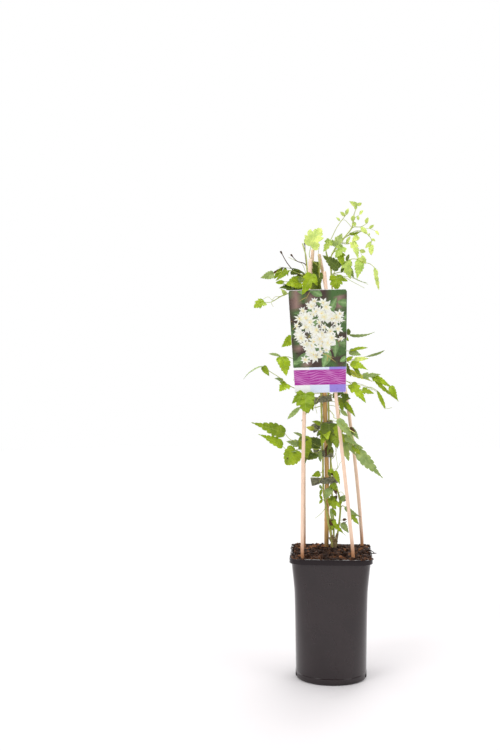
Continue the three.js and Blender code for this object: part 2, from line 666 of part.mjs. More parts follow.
// The stalk of a side shoot with its leaflets.
function shoot(stem, { from, way, leaves }, seed) {
  const curve = new THREE.CatmullRomCurve3(
    [pointAtHeight(stem, from), ...way.map(vector)], false, "centripetal");
  const radius = leaves.length ? STEM.stalkRadius : STEM.stubRadius;
  const stalk = solid(rod(curve, radius, STEM.stalkSides, Math.max(2, way.length)));
  return [
    stalk,
    ...leaves.map((each, i) => leaflet(each, curve.getPointAt(Math.min(each.along, SUNK_END)), seed + i)),
  ];
}

function vine({ radius, stem, sprigs }, extra = []) {
  const curve = curveThrough(stem);
  const main = solid(rod(curve, radius, STEM.sides, Math.round(stem.length * STEM.stepsPerPoint)));
  return grownTogether([main, ...extra, ...sprigs.flatMap((each, i) => shoot(curve, each, 10 * i + 1))]);
}

const crown = () =>
  solid(rod(new THREE.LineCurve3(vector(CROWN.foot), vector(CROWN.top)), CROWN.radius, CROWN.sides, 1));

// Stalks with three leaflets each, by turns on the stem at the back and on its fork.
function backVine({ radius, stem, branch }) {
  const main = curveThrough(stem);
  const fork = curveThrough([pointAtHeight(main, branch.from).toArray(), ...branch.way]);
  const { count, first, last, sides, swing, stalk, rise, fan } = BACK_SPRIGS;
  const { length, widthShare, outward, drop, shapes, seeds, seedStep } = BACK_SPRIGS;
  const pieces = [
    solid(rod(main, radius, STEM.sides, STEM.backSteps)),
    solid(rod(fork, radius, STEM.sides, STEM.forkSteps)),
  ];
  for (let i = 0; i < count; i++) {
    const root = pointAtHeight(i % 2 ? fork : main, mix(first, last, i / (count - 1)));
    const side = degrees(sides[i % sides.length] + swing * (draw(i) - 0.5));
    const reach = mix(...stalk, draw(i + 0.3));
    const end = root.clone().add(new THREE.Vector3(Math.cos(side) * reach, Math.sin(side) * reach, rise));
    pieces.push(solid(rod(new THREE.LineCurve3(root, end), STEM.stalkRadius, STEM.stalkSides, 1)));
    fan.forEach((spread, k) => {
      const long = mix(...length, draw(i + k * 7.7));
      const way = side + degrees(spread);
      const out = new THREE.Vector3(Math.cos(way), Math.sin(way), 0).multiplyScalar(outward);
      out.z = -mix(...drop, draw(i + k));
      const tip = end.clone().addScaledVector(out, long).toArray();
      const shape = shapes[(i + k) % shapes.length];
      const each = { shape, tip, width: long * widthShare, turn: 180 };
      pieces.push(leaflet(each, end, seeds + seedStep * i + k));
    });
  }
  return grownTogether(pieces);
}

// ---- the whole -------------------------------------------------------------------------------

const LOOKS = {
  pot: { color: 0x413d3b, roughness: 0.5, metalness: 0 },
  soil: { color: 0x2d1e16, roughness: 1, metalness: 0 },
  cane: { color: 0xf0d2b4, roughness: 0.7, metalness: 0 },
  bamboo: { color: 0xbe8240, roughness: 0.6, metalness: 0 },
  label: { color: 0xaf3c9b, roughness: 0.35, metalness: 0 },
  tie: { color: 0x4a4a46, roughness: 0.6, metalness: 0 },
  plant: { color: 0x78a51e, roughness: 0.6, metalness: 0, side: THREE.DoubleSide },
};

const plant = new THREE.Group();
const canes = Object.fromEntries(Object.entries(CANES).map(([name, points]) => [name, curveThrough(points)]));
const centre = curveThrough(CANE_CENTRE);

plant.add(mesh("pot", pot(), LOOKS.pot));
for (const [name, curve] of Object.entries(canes))
  plant.add(mesh(name, solid(rod(curve, THIN_CANE.radius, THIN_CANE.sides, THIN_CANE.steps)), LOOKS.cane));
plant.add(mesh("cane_centre", bamboo(centre), LOOKS.bamboo));
plant.add(mesh("label", label(canes.cane_front_left, canes.cane_front_right), LOOKS.label));
for (const [name, sizes] of Object.entries(TIES))
  plant.add(mesh(name, tie(sizes, centre), LOOKS.tie));
for (const [name, each] of Object.entries(VINES))
  plant.add(mesh(name, vine(each, name === "vine_middle" ? [crown()] : []), LOOKS.plant));
plant.add(mesh("vine_back", backVine(BACK_VINE), LOOKS.plant));

const stems = [...Object.values(VINES), BACK_VINE];
plant.add(
  mesh(
    "soil",
    soil([
      ...Object.values(CANES).map((points) => {
        const { radius, sides, steps } = THIN_CANE;
        return hole(points, radius, sides, steps);
      }),
      hole(CANE_CENTRE, BAMBOO.radius, BAMBOO.sides, BAMBOO.steps),
      ...stems.map(({ stem, radius }) => hole(stem.slice(0, 2), radius, STEM.sides, 1)),
      hole([CROWN.foot, CROWN.top], CROWN.radius, CROWN.sides, 1),
    ]),
    LOOKS.soil,
  ),
);

export default plant;
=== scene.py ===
"""A young climbing clematis in a deep nursery pot, with canes, tape ties and a picture card.

Builds the looks of the plant round its solid model. Shapes are written in millimetres, with the
origin at the middle of the pot's foot, +X to the right and +Y to the back, and become metres
when a form is made into a mesh. Colours are linear.
"""

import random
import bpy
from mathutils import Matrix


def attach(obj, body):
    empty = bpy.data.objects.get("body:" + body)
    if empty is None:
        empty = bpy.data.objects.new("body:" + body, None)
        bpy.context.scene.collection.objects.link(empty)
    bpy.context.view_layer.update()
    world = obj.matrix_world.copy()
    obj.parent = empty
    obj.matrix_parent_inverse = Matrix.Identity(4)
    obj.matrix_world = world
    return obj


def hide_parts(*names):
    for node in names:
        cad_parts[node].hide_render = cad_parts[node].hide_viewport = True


bl_info = {
    "name": "Potted climbing clematis",
    "version": (1, 0, 0),
    "blender": (4, 5, 0),
    "location": "View3D > Sidebar > Clematis",
    "description": "Builds a potted climbing clematis on canes round its solid model",
    "category": "Add Mesh",
}

from bisect import bisect_right
from collections import namedtuple
from functools import partial
from math import atan2, cos, exp, hypot, pi, radians, sin, sqrt
from types import SimpleNamespace

import bmesh
import bpy
from bpy.props import FloatProperty, FloatVectorProperty, IntProperty, PointerProperty
from bpy.types import Operator, Panel, PropertyGroup
from mathutils import Matrix, Vector, noise

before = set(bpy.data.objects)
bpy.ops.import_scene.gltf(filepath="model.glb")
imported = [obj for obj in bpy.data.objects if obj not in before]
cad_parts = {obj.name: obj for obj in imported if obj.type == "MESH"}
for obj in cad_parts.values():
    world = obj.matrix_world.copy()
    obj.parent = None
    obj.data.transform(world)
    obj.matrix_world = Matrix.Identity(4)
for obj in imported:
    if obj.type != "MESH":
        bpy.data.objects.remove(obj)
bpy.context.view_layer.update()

MM = 0.001
BODY = "root"

# ---- the pot, soil and canes, with the solid model's sizes ----

POT_HEIGHT = 212
LIP_HEIGHT = 9
LIP_REACH = 70  # from the axis to the middle of a side, outside
LOW_REACH = 60.3  # of the wall, at the foot
TAPER = 0.008  # how the wall widens with height
FLARE = 0.087  # how much more it widens near the lip
FLARE_FROM = 153  # height where that starts
FLARE_SOFT = 12  # how softly it does
FOOT_REACH = 61
FOOT_HEIGHT = 10  # of the rim round the foot
WALL = 1.8
FLOOR = 2.5
CORNER_SHARE = 0.26  # corner radius over reach, at the rim
FOOT_SQUARE = 0.06  # how far from round the foot is
SLOT_ANGLES = (16, 164, 196, 344)
SLOT_WIDTH = 12
SLOT_HEIGHT = 8
POT_TURN = -4  # degrees, from above
LIP_FROM = (POT_HEIGHT - LIP_HEIGHT - 1) * MM  # the lip is duller than the wall, and painted darker as shade
SOIL_EDGE = 208.5
SOIL_MOUND = 4
SOIL_GAP = 0.3
THIN_CANE_RADIUS = 3
BAMBOO_RADIUS = 4
BAMBOO_JOINT_RADIUS = 4.7
BAMBOO_JOINTS = (262, 398, 530)

CANES = {
    "cane_front_left": [(-49.5, -45.3, 155), (-51.5, -47, 207), (-46.9, -27.8, 488), (-36.4, -12, 715)],
    "cane_front_right": [(36.3, -46.4, 155), (34.7, -45, 207), (6, -26, 488), (-12, -12, 694)],
    "cane_back_left": [(-44.3, 48.5, 155), (-44.2, 49, 207), (-43.8, 27.5, 488), (-31, 8, 733)],
    "cane_back_right": [
        (53, 42, 155), (58, 48, 208), (56.3, 47.3, 246), (44.3, 40, 368), (28, 32, 484),
        (-15, 12, 702), (-20, 9, 725),
    ],
}
CANE_CENTRE = [(-6.5, 29, 30), (-6, 29, 210), (-5.3, 29, 347), (-8.4, 29, 450), (-12, 27, 600)]

# ---- the card and the ties ----

CARD_LOW = 488.2
CARD_TALL = 175.8
CARD_LOW_HALF = 43.5
CARD_HIGH_HALF = 50.5
CARD_MIDDLE = -20  # of its foot
CARD_TURN = 1.4  # degrees, in its own plane
CARD_CORNER = 6
CARD_GAP = 0.3
CARD_SHEET = 0.5

TIE_BAND = 11
TIE_SHEET = 0.4
TIE_HALF_DEPTH = 4.4
TIE_STEPS = 110
TIE_COLUMNS = 14
TIE_TWIST = 5  # how far the tail's edges turn to the front and back
TIES = {  # height on the bamboo, reach to the left and right, tail, slant in degrees, tail's droop
    "tie_1": (473, 10.8, 11.5, 12, -9, 1),
    "tie_2": (428, 10.8, 13, 13, -12, 2),
    "tie_3": (376, 10.8, 11.5, 12, 3, 0),
    "tie_4": (331, 10.8, 18, 17, -3, 1),
}

# ---- the leaflets ----

BLADE_SHEET = 0.34
BOW = 0.07
FOLD = 0.16
RIPPLE = 0.05
WAVES = 9
SKYWARD = 0.25
SWAY = 50
SUNK_END = 0.995  # the last leaflet starts just inside its stalk's end

# Number of side veins, and the half outline from base to tip by share of half width and of length.
OUTLINES = {
    "ovate": (4, [
        (0, 0), (0.42, -0.03), (0.82, 0.05), (0.99, 0.2), (0.88, 0.23), (1, 0.38), (0.82, 0.4), (0.84, 0.55),
        (0.64, 0.56), (0.6, 0.71), (0.4, 0.72), (0.27, 0.86), (0.09, 0.94), (0, 1),
    ]),
    "lance": (5, [
        (0, 0), (0.44, -0.01), (0.84, 0.08), (0.98, 0.22), (0.84, 0.24), (1, 0.39), (0.78, 0.4), (0.82, 0.54),
        (0.56, 0.54), (0.54, 0.68), (0.32, 0.69), (0.22, 0.82), (0.07, 0.91), (0, 1),
    ]),
    "lobed": (4, [
        (0, 0), (0.44, -0.04), (0.78, 0), (0.9, 0.12), (0.84, 0.15), (1, 0.35), (0.72, 0.33), (0.5, 0.37),
        (0.68, 0.5), (0.7, 0.62), (0.5, 0.61), (0.46, 0.74), (0.32, 0.75), (0.22, 0.88), (0.07, 0.95), (0, 1),
    ]),
    "maple": (4, [
        (0, 0), (0.4, -0.08), (0.78, -0.04), (0.94, 0.09), (0.84, 0.13), (1, 0.29), (0.8, 0.32), (0.66, 0.36),
        (0.88, 0.5), (0.86, 0.68), (0.66, 0.64), (0.5, 0.64), (0.54, 0.79), (0.38, 0.82), (0.26, 0.93),
        (0.1, 0.95), (0, 1),
    ]),
    "disc": (3, [
        (0, 0), (0.5, -0.07), (0.88, 0.02), (1, 0.2), (0.91, 0.23), (1, 0.42), (0.88, 0.45), (0.9, 0.63),
        (0.73, 0.65), (0.64, 0.81), (0.46, 0.83), (0.24, 0.95), (0, 1),
    ]),
    "slip": (3, [
        (0, 0), (0.42, 0.08), (0.8, 0.24), (0.98, 0.42), (0.92, 0.6), (0.56, 0.82), (0.2, 0.95), (0, 1),
    ]),
}


# A leaflet: outline, place on its stalk (0 to 1), tip, width, colour, turn about its length in
# degrees, and brown spots by share across, share along and reach.
Leaf = namedtuple("Leaf", "shape along tip width tone turn spots", defaults=("bright", 0, ()))
ovate, lance, lobed, maple, disc, slip = [partial(Leaf, shape) for shape in OUTLINES]


def sprig(start, way, *leaves):
    """A side shoot: the height where it leaves the stem, its stalk's points, its leaflets."""
    return SimpleNamespace(start=start, way=way, leaves=leaves)

LEFT_STEM = [
    (4, 16, 192), (3.6, 16, 214), (1.6, 17, 232), (-0.9, 18.5, 246), (-4, 19.8, 262), (-7.5, 20.4, 286),
    (-11, 25, 312), (-11.7, 26.9, 326), (-12.3, 26.8, 376), (-14.1, 26.8, 430), (-15.6, 26.4, 480),
    (-21, 20, 535), (-29, 9, 595), (-38, 0, 655), (-41, -1, 692), (-43, 0, 720), (-49, 0, 743),
]
LEFT_SPRIGS = [
    sprig(296, [(-15, 8, 301)], slip(1, (-20, 4, 309), 5), slip(0.9, (-20, 4, 294), 5)),
    sprig(314, [(0, 3, 320)], ovate(1, (-11, -3, 300), 14, "grey")),
    sprig(346, [(-19, 8, 346)], ovate(1, (-34, -2, 342), 11)),
    sprig(387, [(-28, -2, 382), (-44, -14, 389), (-58, -22, 391), (-72, -28, 387), (-85, -33, 398)],
        lance(1, (-126, -44, 419), 17),
        disc(0.72, (-79, -32, 366), 32, "mid", 0, ((-0.1, 0.94, 0.11), (0.35, 0.72, 0.08))),
        disc(0.36, (-42, -18, 373), 24, "dark")),
    sprig(389, [(-26, -2, 389), (-40, -14, 394), (-56, -21, 402), (-72, -27, 409), (-81, -32, 420)],
        lance(1, (-138, -46, 439), 22, "mid"), lobed(0.56, (-78, -24, 405), 18, "grey"),
        lobed(0.42, (-55, -24, 414), 18, "dark")),
    sprig(392, [(-18, 10, 393)], disc(1, (-39, 2, 408), 20, "dark")),
    sprig(416, [(-29, 15, 422)], ovate(1, (-43, 9, 426), 9, "yellow", 0, ((0, 1, 0.3),))),
    sprig(442, [(-18, 10, 431)], ovate(1, (-33, 4, 436), 9, "mid", 30)),
    sprig(462, [(-33, 4, 459), (-54, -22, 463)], slip(1, (-76, -30, 443), 8, "grey")),
    sprig(484, [(-33, 0, 486), (-36.5, -24, 487), (-38, -36, 487), (-46, -38.5, 487)],
        maple(1, (-46, -46, 456), 34, "mid"), lance(0.55, (-52, -27, 439), 17),
        slip(0.6, (-32, -18, 456), 7), slip(0.7, (-41, -27, 452), 7)),
    sprig(510, [(-47, 0, 491), (-64, -12, 495), (-78, -18, 503), (-89, -22, 513), (-106, -26, 524),
        (-118, -28, 533)], lance(1, (-151, -34, 511), 8, "grey", 80), ovate(1, (-107, -28, 516), 11, "mid"),
        lobed(0.6, (-90, -27, 490), 21)),
    sprig(548, [(-45, 4, 541), (-62, -8, 544), (-78, -16, 549), (-87, -19, 548)],
        ovate(1, (-78, -26, 516), 25), lance(0.5, (-65, -14, 507), 12, "mid")),
    sprig(594, [(-43, 4, 589), (-57, -6, 584), (-67, -11, 581)], ovate(1, (-86, -18, 565), 17)),
    sprig(664, [(-61, -4, 660), (-76, -9, 656), (-88, -13, 651), (-104, -18, 642), (-116, -20, 642)],
        maple(1, (-133, -24, 632), 20), ovate(0.5, (-87, -18, 665), 8, "lime")),
    sprig(674, [(-52, 0, 668), (-68, -6, 666)], ovate(1, (-91, -12, 673), 11, "dark", 80),
        ovate(0.4, (-78, -2, 663), 15, "dark")),
    sprig(676, [(-44, 0, 707), (-59, 0, 713), (-69, 0, 724)]),
    sprig(680, [(-62, -6, 694), (-75, -8, 708), (-87, -8, 729)]),
    sprig(700, [(-44, 4, 722), (-45, 5, 744)]),
    sprig(682, [(-27, -12, 687), (-34, -23, 689)], lobed(1, (-51, -30, 654), 24),
        ovate(1, (-25, -27, 669), 11)),
    sprig(682, [(-52, -6, 677), (-68, -10, 677), (-81, -13, 677)],
        ovate(0.35, (-79, -22, 672), 24), ovate(0.2, (-59, -2, 690), 18, "grey"),
        slip(1, (-96, -16, 675), 7)),
    sprig(692, [(-49, -8, 689), (-70, -14, 696), (-87, -19, 694), (-100, -22, 690)],
        ovate(1, (-122, -27, 683), 14, "sage"), lance(0.5, (-48, 4, 694), 15, "dark", 80),
        ovate(0.62, (-96, -24, 678), 10, "mid"), ovate(0.55, (-75, -18, 686), 10, "mid", 80)),
]
LEFT_FINE = [
    sprig(688, [(-50, 2, 692), (-64, -4, 699), (-84, -6, 702)],
        lance(0.05, (-91, -12, 702), 15, "dark", 55), slip(1, (-99, -10, 682), 8, "mid"),
        slip(0.9, (-80, -12, 689), 7, "grey"), slip(0.95, (-103, -10, 690), 4, "brown")),
    sprig(664, [(-61, -4, 661), (-88, -13, 652), (-100, -18, 645), (-109, -19, 651), (-117, -20, 647)]),
    sprig(664, [(-61, -4, 661), (-88, -13, 652), (-97, -16, 651), (-103, -17, 641), (-100, -18, 634)]),
    sprig(676, [(-50, 0, 708), (-62, 0, 714), (-74, 0, 720)]),
    sprig(660, [(-52, -2, 662), (-66, -8, 668)], ovate(1, (-90, -14, 666), 12, "dark", 30),
        lobed(0.6, (-66, -16, 650), 14, "dark")),
    sprig(548, [(-45, 4, 541), (-62, -8, 544), (-78, -16, 549), (-87, -19, 549)],
        slip(1, (-108, -22, 554), 5, "grey")),
    sprig(510, [(-47, 0, 491), (-64, -12, 495), (-78, -18, 503), (-84, -20, 508)],
        ovate(1, (-98, -24, 512), 8, "grey", 30)),
    sprig(482, [(-30, 0, 485), (-38, -20, 489), (-50, -36, 488)], lobed(1, (-69, -40, 470), 17, "mid"),
        slip(1, (-53, -42, 464), 9), slip(0.8, (-31, -38, 465), 9, "mid")),
    sprig(478, [(-22, 16, 474), (-26, 8, 462), (-24, 4, 450)]),
    sprig(389, [(-26, -2, 396), (-48, -16, 412)], ovate(1, (-43, -22, 374), 24, "mid"),
        slip(0.9, (-66, -24, 420), 6, "grey")),
    sprig(387, [(-30, -6, 388), (-60, -24, 388)], slip(1, (-72, -28, 388), 6, "grey", 30),
        slip(0.8, (-46, -22, 366), 8, "dark")),
    sprig(384, [(-16, 22, 384)], slip(1, (-17, 20, 364), 7, "grey")),
    sprig(420, [(-20, 16, 414), (-24, 10, 404)], slip(1, (-30, 6, 396), 6, "mid")),
    sprig(286, [(-13, 14, 279), (-20, 10, 273), (-27, 8, 268)]),
    sprig(340, [(-16, 14, 338), (-20, 10, 330)]),
    sprig(318, [(-15, 14, 318)], slip(1, (-19, 10, 326), 5, "grey"), slip(1, (-18, 10, 306), 5, "mid")),
]
MIDDLE_STEM = [
    (7, 22, 192), (6.7, 22, 226), (5.9, 22, 254), (5, 22.2, 280), (4.2, 23.5, 300), (1.8, 26.8, 324),
    (1, 27, 376), (-1.6, 27, 428), (-3.2, 26.8, 480), (-6, 22, 540), (-10, 15, 600), (-16, 7, 655),
    (-20, 1, 692), (-19, 0, 716),
]
MIDDLE_SPRIGS = [
    sprig(240, [(4, 10, 247)], slip(1, (-3, 8, 266), 6, "brown")),
    sprig(250, [(9, 8, 256)], lobed(1, (21, 3, 244), 10)),
    sprig(295, [(11, 8, 308)], slip(1, (2, 5, 295), 7, "brown")),
    sprig(303, [(0, 6, 304)], lobed(1, (9, -1, 284), 15, "mid"), slip(0.8, (15, -2, 288), 8)),
    sprig(317, [(2, 4, 328)], lobed(1, (9, 0, 317), 13, "mid")),
    sprig(350, [(6, 4, 350)], ovate(1, (15, -3, 328), 10), slip(0.8, (-6, 0, 351), 8)),
    sprig(388, [(0, 7, 392)], ovate(1, (-6, 4, 378), 11, "dark")),
    sprig(412, [(-3, 4, 425), (-4, -4, 432)], disc(1, (-4, -14, 401), 31, "dark"),
        lance(1, (12, -12, 397), 15, "dark"), ovate(1, (-19, -8, 410), 12, "dark"),
        lobed(0.9, (-3, -20, 390), 25, "dark")),
    sprig(455, [(4, -10, 448), (2.5, -34, 446), (9, -44, 444)], lance(1, (37, -44, 408), 14, "grey"),
        slip(0.95, (40, -48, 420), 8, "yellow", 80)),
    sprig(684, [(-20, 3, 693)], ovate(1, (-24, 0, 666), 16, "dark")),
    sprig(700, [(-26, 4, 712)], ovate(1, (-28, 2, 691), 14, "dark")),
    sprig(702, [(-37, -2, 720), (-35, -6, 739)], maple(1, (-17, -11, 769), 37, "lime")),
]
MIDDLE_FINE = [
    sprig(700, [(-22, 2, 722), (-20, 2, 740)]),
    sprig(690, [(-26, 6, 690)], lobed(1, (-34, 4, 664), 18, "dark"), ovate(1, (-18, 6, 668), 15, "mid"),
        ovate(1, (-22, 6, 712), 13, "mid"), slip(0.9, (-33, 2, 700), 9, "dark")),
    sprig(670, [(-24, 2, 672)], ovate(1, (-38, -4, 660), 14, "dark"),
        ovate(1, (-14, -4, 662), 13, "dark", 40)),
    sprig(412, [(4, 2, 428), (8, -6, 430)], ovate(1, (22, -24, 402), 17, "mid"),
        maple(0.8, (9, -30, 393), 20, "mid"), ovate(0.9, (25, -22, 420), 12)),
    sprig(410, [(-8, 4, 420), (-12, -4, 424)], lobed(1, (-18, -26, 397), 17, "mid"),
        slip(1, (-25, -8, 412), 9, "dark"), ovate(0.9, (-7, -30, 408), 17)),
    sprig(394, [(-2, 10, 394)], ovate(1, (-9, 6, 374), 10, "brown"), slip(1, (4, 6, 380), 7, "dark")),
    sprig(436, [(14, -18, 436), (30, -34, 428)], ovate(1, (44, -42, 410), 11, "grey"),
        disc(1, (38, -42, 421), 7, "brown"), slip(0.8, (30, -32, 412), 7, "mid")),
    sprig(462, [(8, 4, 462), (16, -4, 456)], slip(1, (28, -8, 446), 7, "grey"),
        slip(0.9, (12, -6, 441), 6)),
    sprig(366, [(6, 18, 372), (10, 10, 386), (6, 2, 402)]),
    sprig(352, [(12, 12, 354), (18, 8, 366), (24, 6, 364)]),
    sprig(346, [(-3, 12, 349)], slip(1, (6, 6, 350), 7, "yellow"), ovate(0.9, (10, 5, 342), 8, "brown"),
        slip(1, (-1, 6, 340), 6, "dark")),
    sprig(322, [(4, 10, 325)], ovate(1, (-5, 4, 311), 9, "dark"), slip(1, (10, 4, 309), 6, "brown"),
        slip(1, (12, 5, 322), 6, "mid")),
    sprig(305, [(5, 8, 306)], slip(1, (9, 4, 296), 6, "brown"), slip(1, (1, 3, 299), 5, "brown"),
        ovate(1, (-3, 2, 289), 11, "mid"), slip(0.9, (9, 1, 300), 7, "dark")),
    sprig(282, [(3, 12, 284)], ovate(1, (1, 6, 266), 9, "grey"), slip(1, (9, 7, 271), 6, "mid")),
    sprig(266, [(4, 12, 266)], lobed(1, (1, 5, 247), 13, "mid"), slip(1, (11, 5, 252), 7),
        slip(0.9, (-1, 6, 250), 4, "brown"), slip(0.9, (-3, 7, 264), 5, "brown")),
]
RIGHT_STEM = [
    (10.4, 27, 192), (10.8, 27, 214), (12.4, 25, 232), (14.4, 23, 248), (17.1, 22, 270), (17.6, 22.4, 294),
    (13.4, 25.8, 313), (8.8, 28.8, 328), (5, 30.6, 342), (1.2, 31.2, 368), (-1.2, 31.2, 428),
    (-2.6, 31, 478), (3, 27, 520), (9, 19, 555), (13, 11, 600),
]
RIGHT_SPRIGS = [
    sprig(258, [(20, 12, 259)], ovate(1, (31, 6, 243), 11, "grey"), slip(1, (28, 8, 263), 4, "brown", 80)),
    sprig(284, [(22, 12, 289), (35, 6, 274)], lance(0.5, (52, 2, 271), 9, "grey"),
        lobed(1, (48, 2, 258), 12, "mid")),
    sprig(300, [(18, 11, 299)], ovate(1, (28, 8, 309), 10, "grey")),
    sprig(416, [(23, 2, 409), (30, -6, 400), (39, -12, 392), (45, -16, 387)],
        lance(1, (86, -34, 343), 20, "grey"), lance(0.42, (51, -20, 392), 11, "grey"),
        disc(0.45, (30, -6, 369), 13, "sage"), ovate(0.72, (41, -12, 380), 10, "grey"),
        slip(0.28, (29, 2, 387), 6)),
    sprig(484, [(16, 10, 474), (25, 8, 469)], lance(0.6, (36, 10, 449), 11, "grey"),
        ovate(1, (43, 12, 443), 8), ovate(0.3, (23, 2, 486), 11, "dark")),
    sprig(508, [(29, -3, 505), (40, -10, 496), (55, -16, 492), (65, -20, 497), (77, -24, 491)],
        slip(1, (90, -30, 460), 7), lobed(0.5, (58, -22, 470), 19),
        lobed(0.72, (72, -24, 486), 12)),
    sprig(518, [(32, -5, 522), (45, -12, 515), (58, -18, 516), (70, -22, 517)],
        lance(1, (112, -42, 474), 12, "mid", 80, ((0.2, 0.86, 0.07),)),
        lobed(0.8, (83, -28, 519), 11, "grey"), lance(0.42, (70, -18, 506), 12, "yellow"),
        lobed(1, (85, -28, 494), 12)),
    sprig(538, [(27, -2, 540), (34, -6, 537)], lance(1, (62, -18, 526), 15),
        ovate(0.45, (34, -10, 514), 15, "dark"), slip(1, (50, -12, 515), 8, "mid")),
    sprig(544, [(26, -3, 541), (44, -9, 545), (59, -14, 549)], slip(0.45, (37, -10, 549), 7),
        ovate(0.7, (64, -16, 546), 8, "lime"), slip(1, (90, -24, 560), 6, "grey", 80)),
    sprig(558, [(32, -4, 558)], ovate(1, (51, -12, 551), 12, "grey"), slip(1, (62, -14, 564), 6)),
    sprig(584, [(32, -4, 586)], lance(1, (74, -14, 591), 8, "grey", 80),
        slip(0.9, (29, -6, 597), 8, "dark"), slip(0.5, (30, -6, 575), 6)),
]
RIGHT_FINE = [
    sprig(518, [(32, -5, 520), (58, -18, 516), (84, -28, 512), (99, -34, 499)],
        lance(1, (111, -40, 474), 12, "bright", 0, ((0.3, 0.7, 0.12),)),
        lance(0.72, (102, -34, 496), 11, "bright", 30)),
    sprig(508, [(29, -3, 505), (55, -16, 500), (77, -24, 488), (86, -27, 468), (93, -30, 461),
        (101, -31, 463)]),
    sprig(500, [(22, 0, 498), (34, -6, 500), (52, -14, 499), (70, -20, 492)]),
    sprig(478, [(10, 14, 474), (18, 8, 470)], lobed(1, (21, 2, 452), 12, "mid"),
        slip(0.9, (30, 2, 476), 7, "mid")),
    sprig(470, [(14, 14, 470), (24, 6, 484)], lobed(1, (22, 0, 466), 15, "dark"),
        ovate(0.8, (34, 0, 476), 11, "dark")),
    sprig(416, [(23, 2, 409), (38, -12, 396)], ovate(1, (49, -20, 381), 11, "mid"),
        slip(1, (54, -20, 392), 7, "grey")),
    sprig(344, [(12, 20, 352), (10, 12, 374), (7, 4, 398)]),
    sprig(310, [(20, 16, 312), (26, 12, 304)]),
    sprig(296, [(20, 16, 298)], slip(1, (27, 12, 299), 5, "brown"), slip(1, (12, 10, 290), 6, "mid")),
    sprig(262, [(21, 14, 264)], slip(1, (28, 10, 266), 5, "brown")),
    sprig(246, [(19, 16, 243), (26, 10, 238)]),
]
TOP_STEM = [
    (3.5, 31.5, 192), (3, 33, 232), (0.4, 36.2, 258), (-5, 36.8, 282), (-10.4, 33.6, 306),
    (-11.6, 31.2, 324), (-12.4, 31.3, 376), (-14, 31.3, 430), (-15, 31, 476), (-11, 34.6, 512),
    (-3, 33, 545), (-1, 24, 575), (-1, 13, 605), (1, 6, 640), (2, 0, 670), (0, -3, 692), (0, -6, 721),
    (12, -8, 740), (24, -10, 755), (36, -10, 772), (38, -10, 790),
]
TOP_SPRIGS = [
    sprig(678, [(8, -9, 687)], maple(1, (9, -12, 663), 24),
        slip(0.8, (28, -12, 678), 8)),
    sprig(684, [(10, -10, 701), (25, -15, 712), (38, -18, 716), (53, -22, 710), (65, -24, 707),
        (75, -26, 698)], lobed(0.42, (32, -20, 681), 20, "fresh"), lance(0.66, (42, -26, 680), 18, "fresh"),
        slip(0.42, (30, -16, 724), 6, "dark"), slip(0.6, (59, -20, 715), 7, "lime"),
        slip(1, (76, -28, 685), 6, "lime"), slip(0.95, (79, -32, 662), 6, "lime"),
        slip(0.28, (25, -14, 710), 7, "dark", 80)),
    sprig(688, [(0, -6, 696), (12, -14, 700)], ovate(1, (-16, -21, 722), 19, "dark")),
    sprig(690, [(20, -6, 694), (32, -10, 690)], slip(1, (60, -22, 675), 5, "grey", 80)),
    sprig(700, [(-9, -4, 730), (0, -6, 751), (11, -8, 773), (25, -10, 792)],
        slip(1, (29, -12, 803), 6, "lime"), slip(0.97, (15, -12, 797), 6, "lime")),
    sprig(706, [(-9, -2, 737), (-2, -6, 749)], lobed(1, (-14, -11, 728), 15, "fresh")),
    sprig(728, [(8, -8, 737), (20, -12, 737)], lobed(0.45, (18, -14, 760), 22, "sage"),
        lobed(1, (6, -16, 717), 19, "fresh")),
    sprig(744, [(28, -10, 742), (40, -14, 747), (45, -16, 755)], lobed(0.6, (45, -20, 716), 14, "lime"),
        ovate(1, (34, -20, 745), 11, "lime"), slip(0.3, (32, -14, 755), 6, "lime")),
    sprig(752, [(42, -13, 764), (58, -18, 760), (67, -20, 750), (67, -20, 739)],
        disc(1, (67, -22, 722), 9, "lime"), slip(0.74, (62, -24, 759), 6, "lime"),
        slip(0.84, (74, -20, 746), 6, "lime"), slip(0.9, (57, -20, 734), 6, "lime"),
        lance(0.18, (51, -20, 763), 8, "mid", 80)),
    sprig(768, [(39, -10, 771), (50, -14, 771), (59, -16, 776)], slip(0.62, (61, -18, 758), 8, "lime"),
        slip(1, (62, -18, 787), 7, "lime")),
    sprig(778, [(36, -9, 781)], slip(1, (39, -12, 791), 8, "lime"), slip(0.5, (41, -12, 772), 8, "lime")),
    sprig(796, [(44, -10, 808)], ovate(1, (30, -14, 815), 9, "lime"), slip(0.9, (40, -12, 801), 6, "lime"),
        slip(1, (52, -12, 812), 6, "lime")),
]
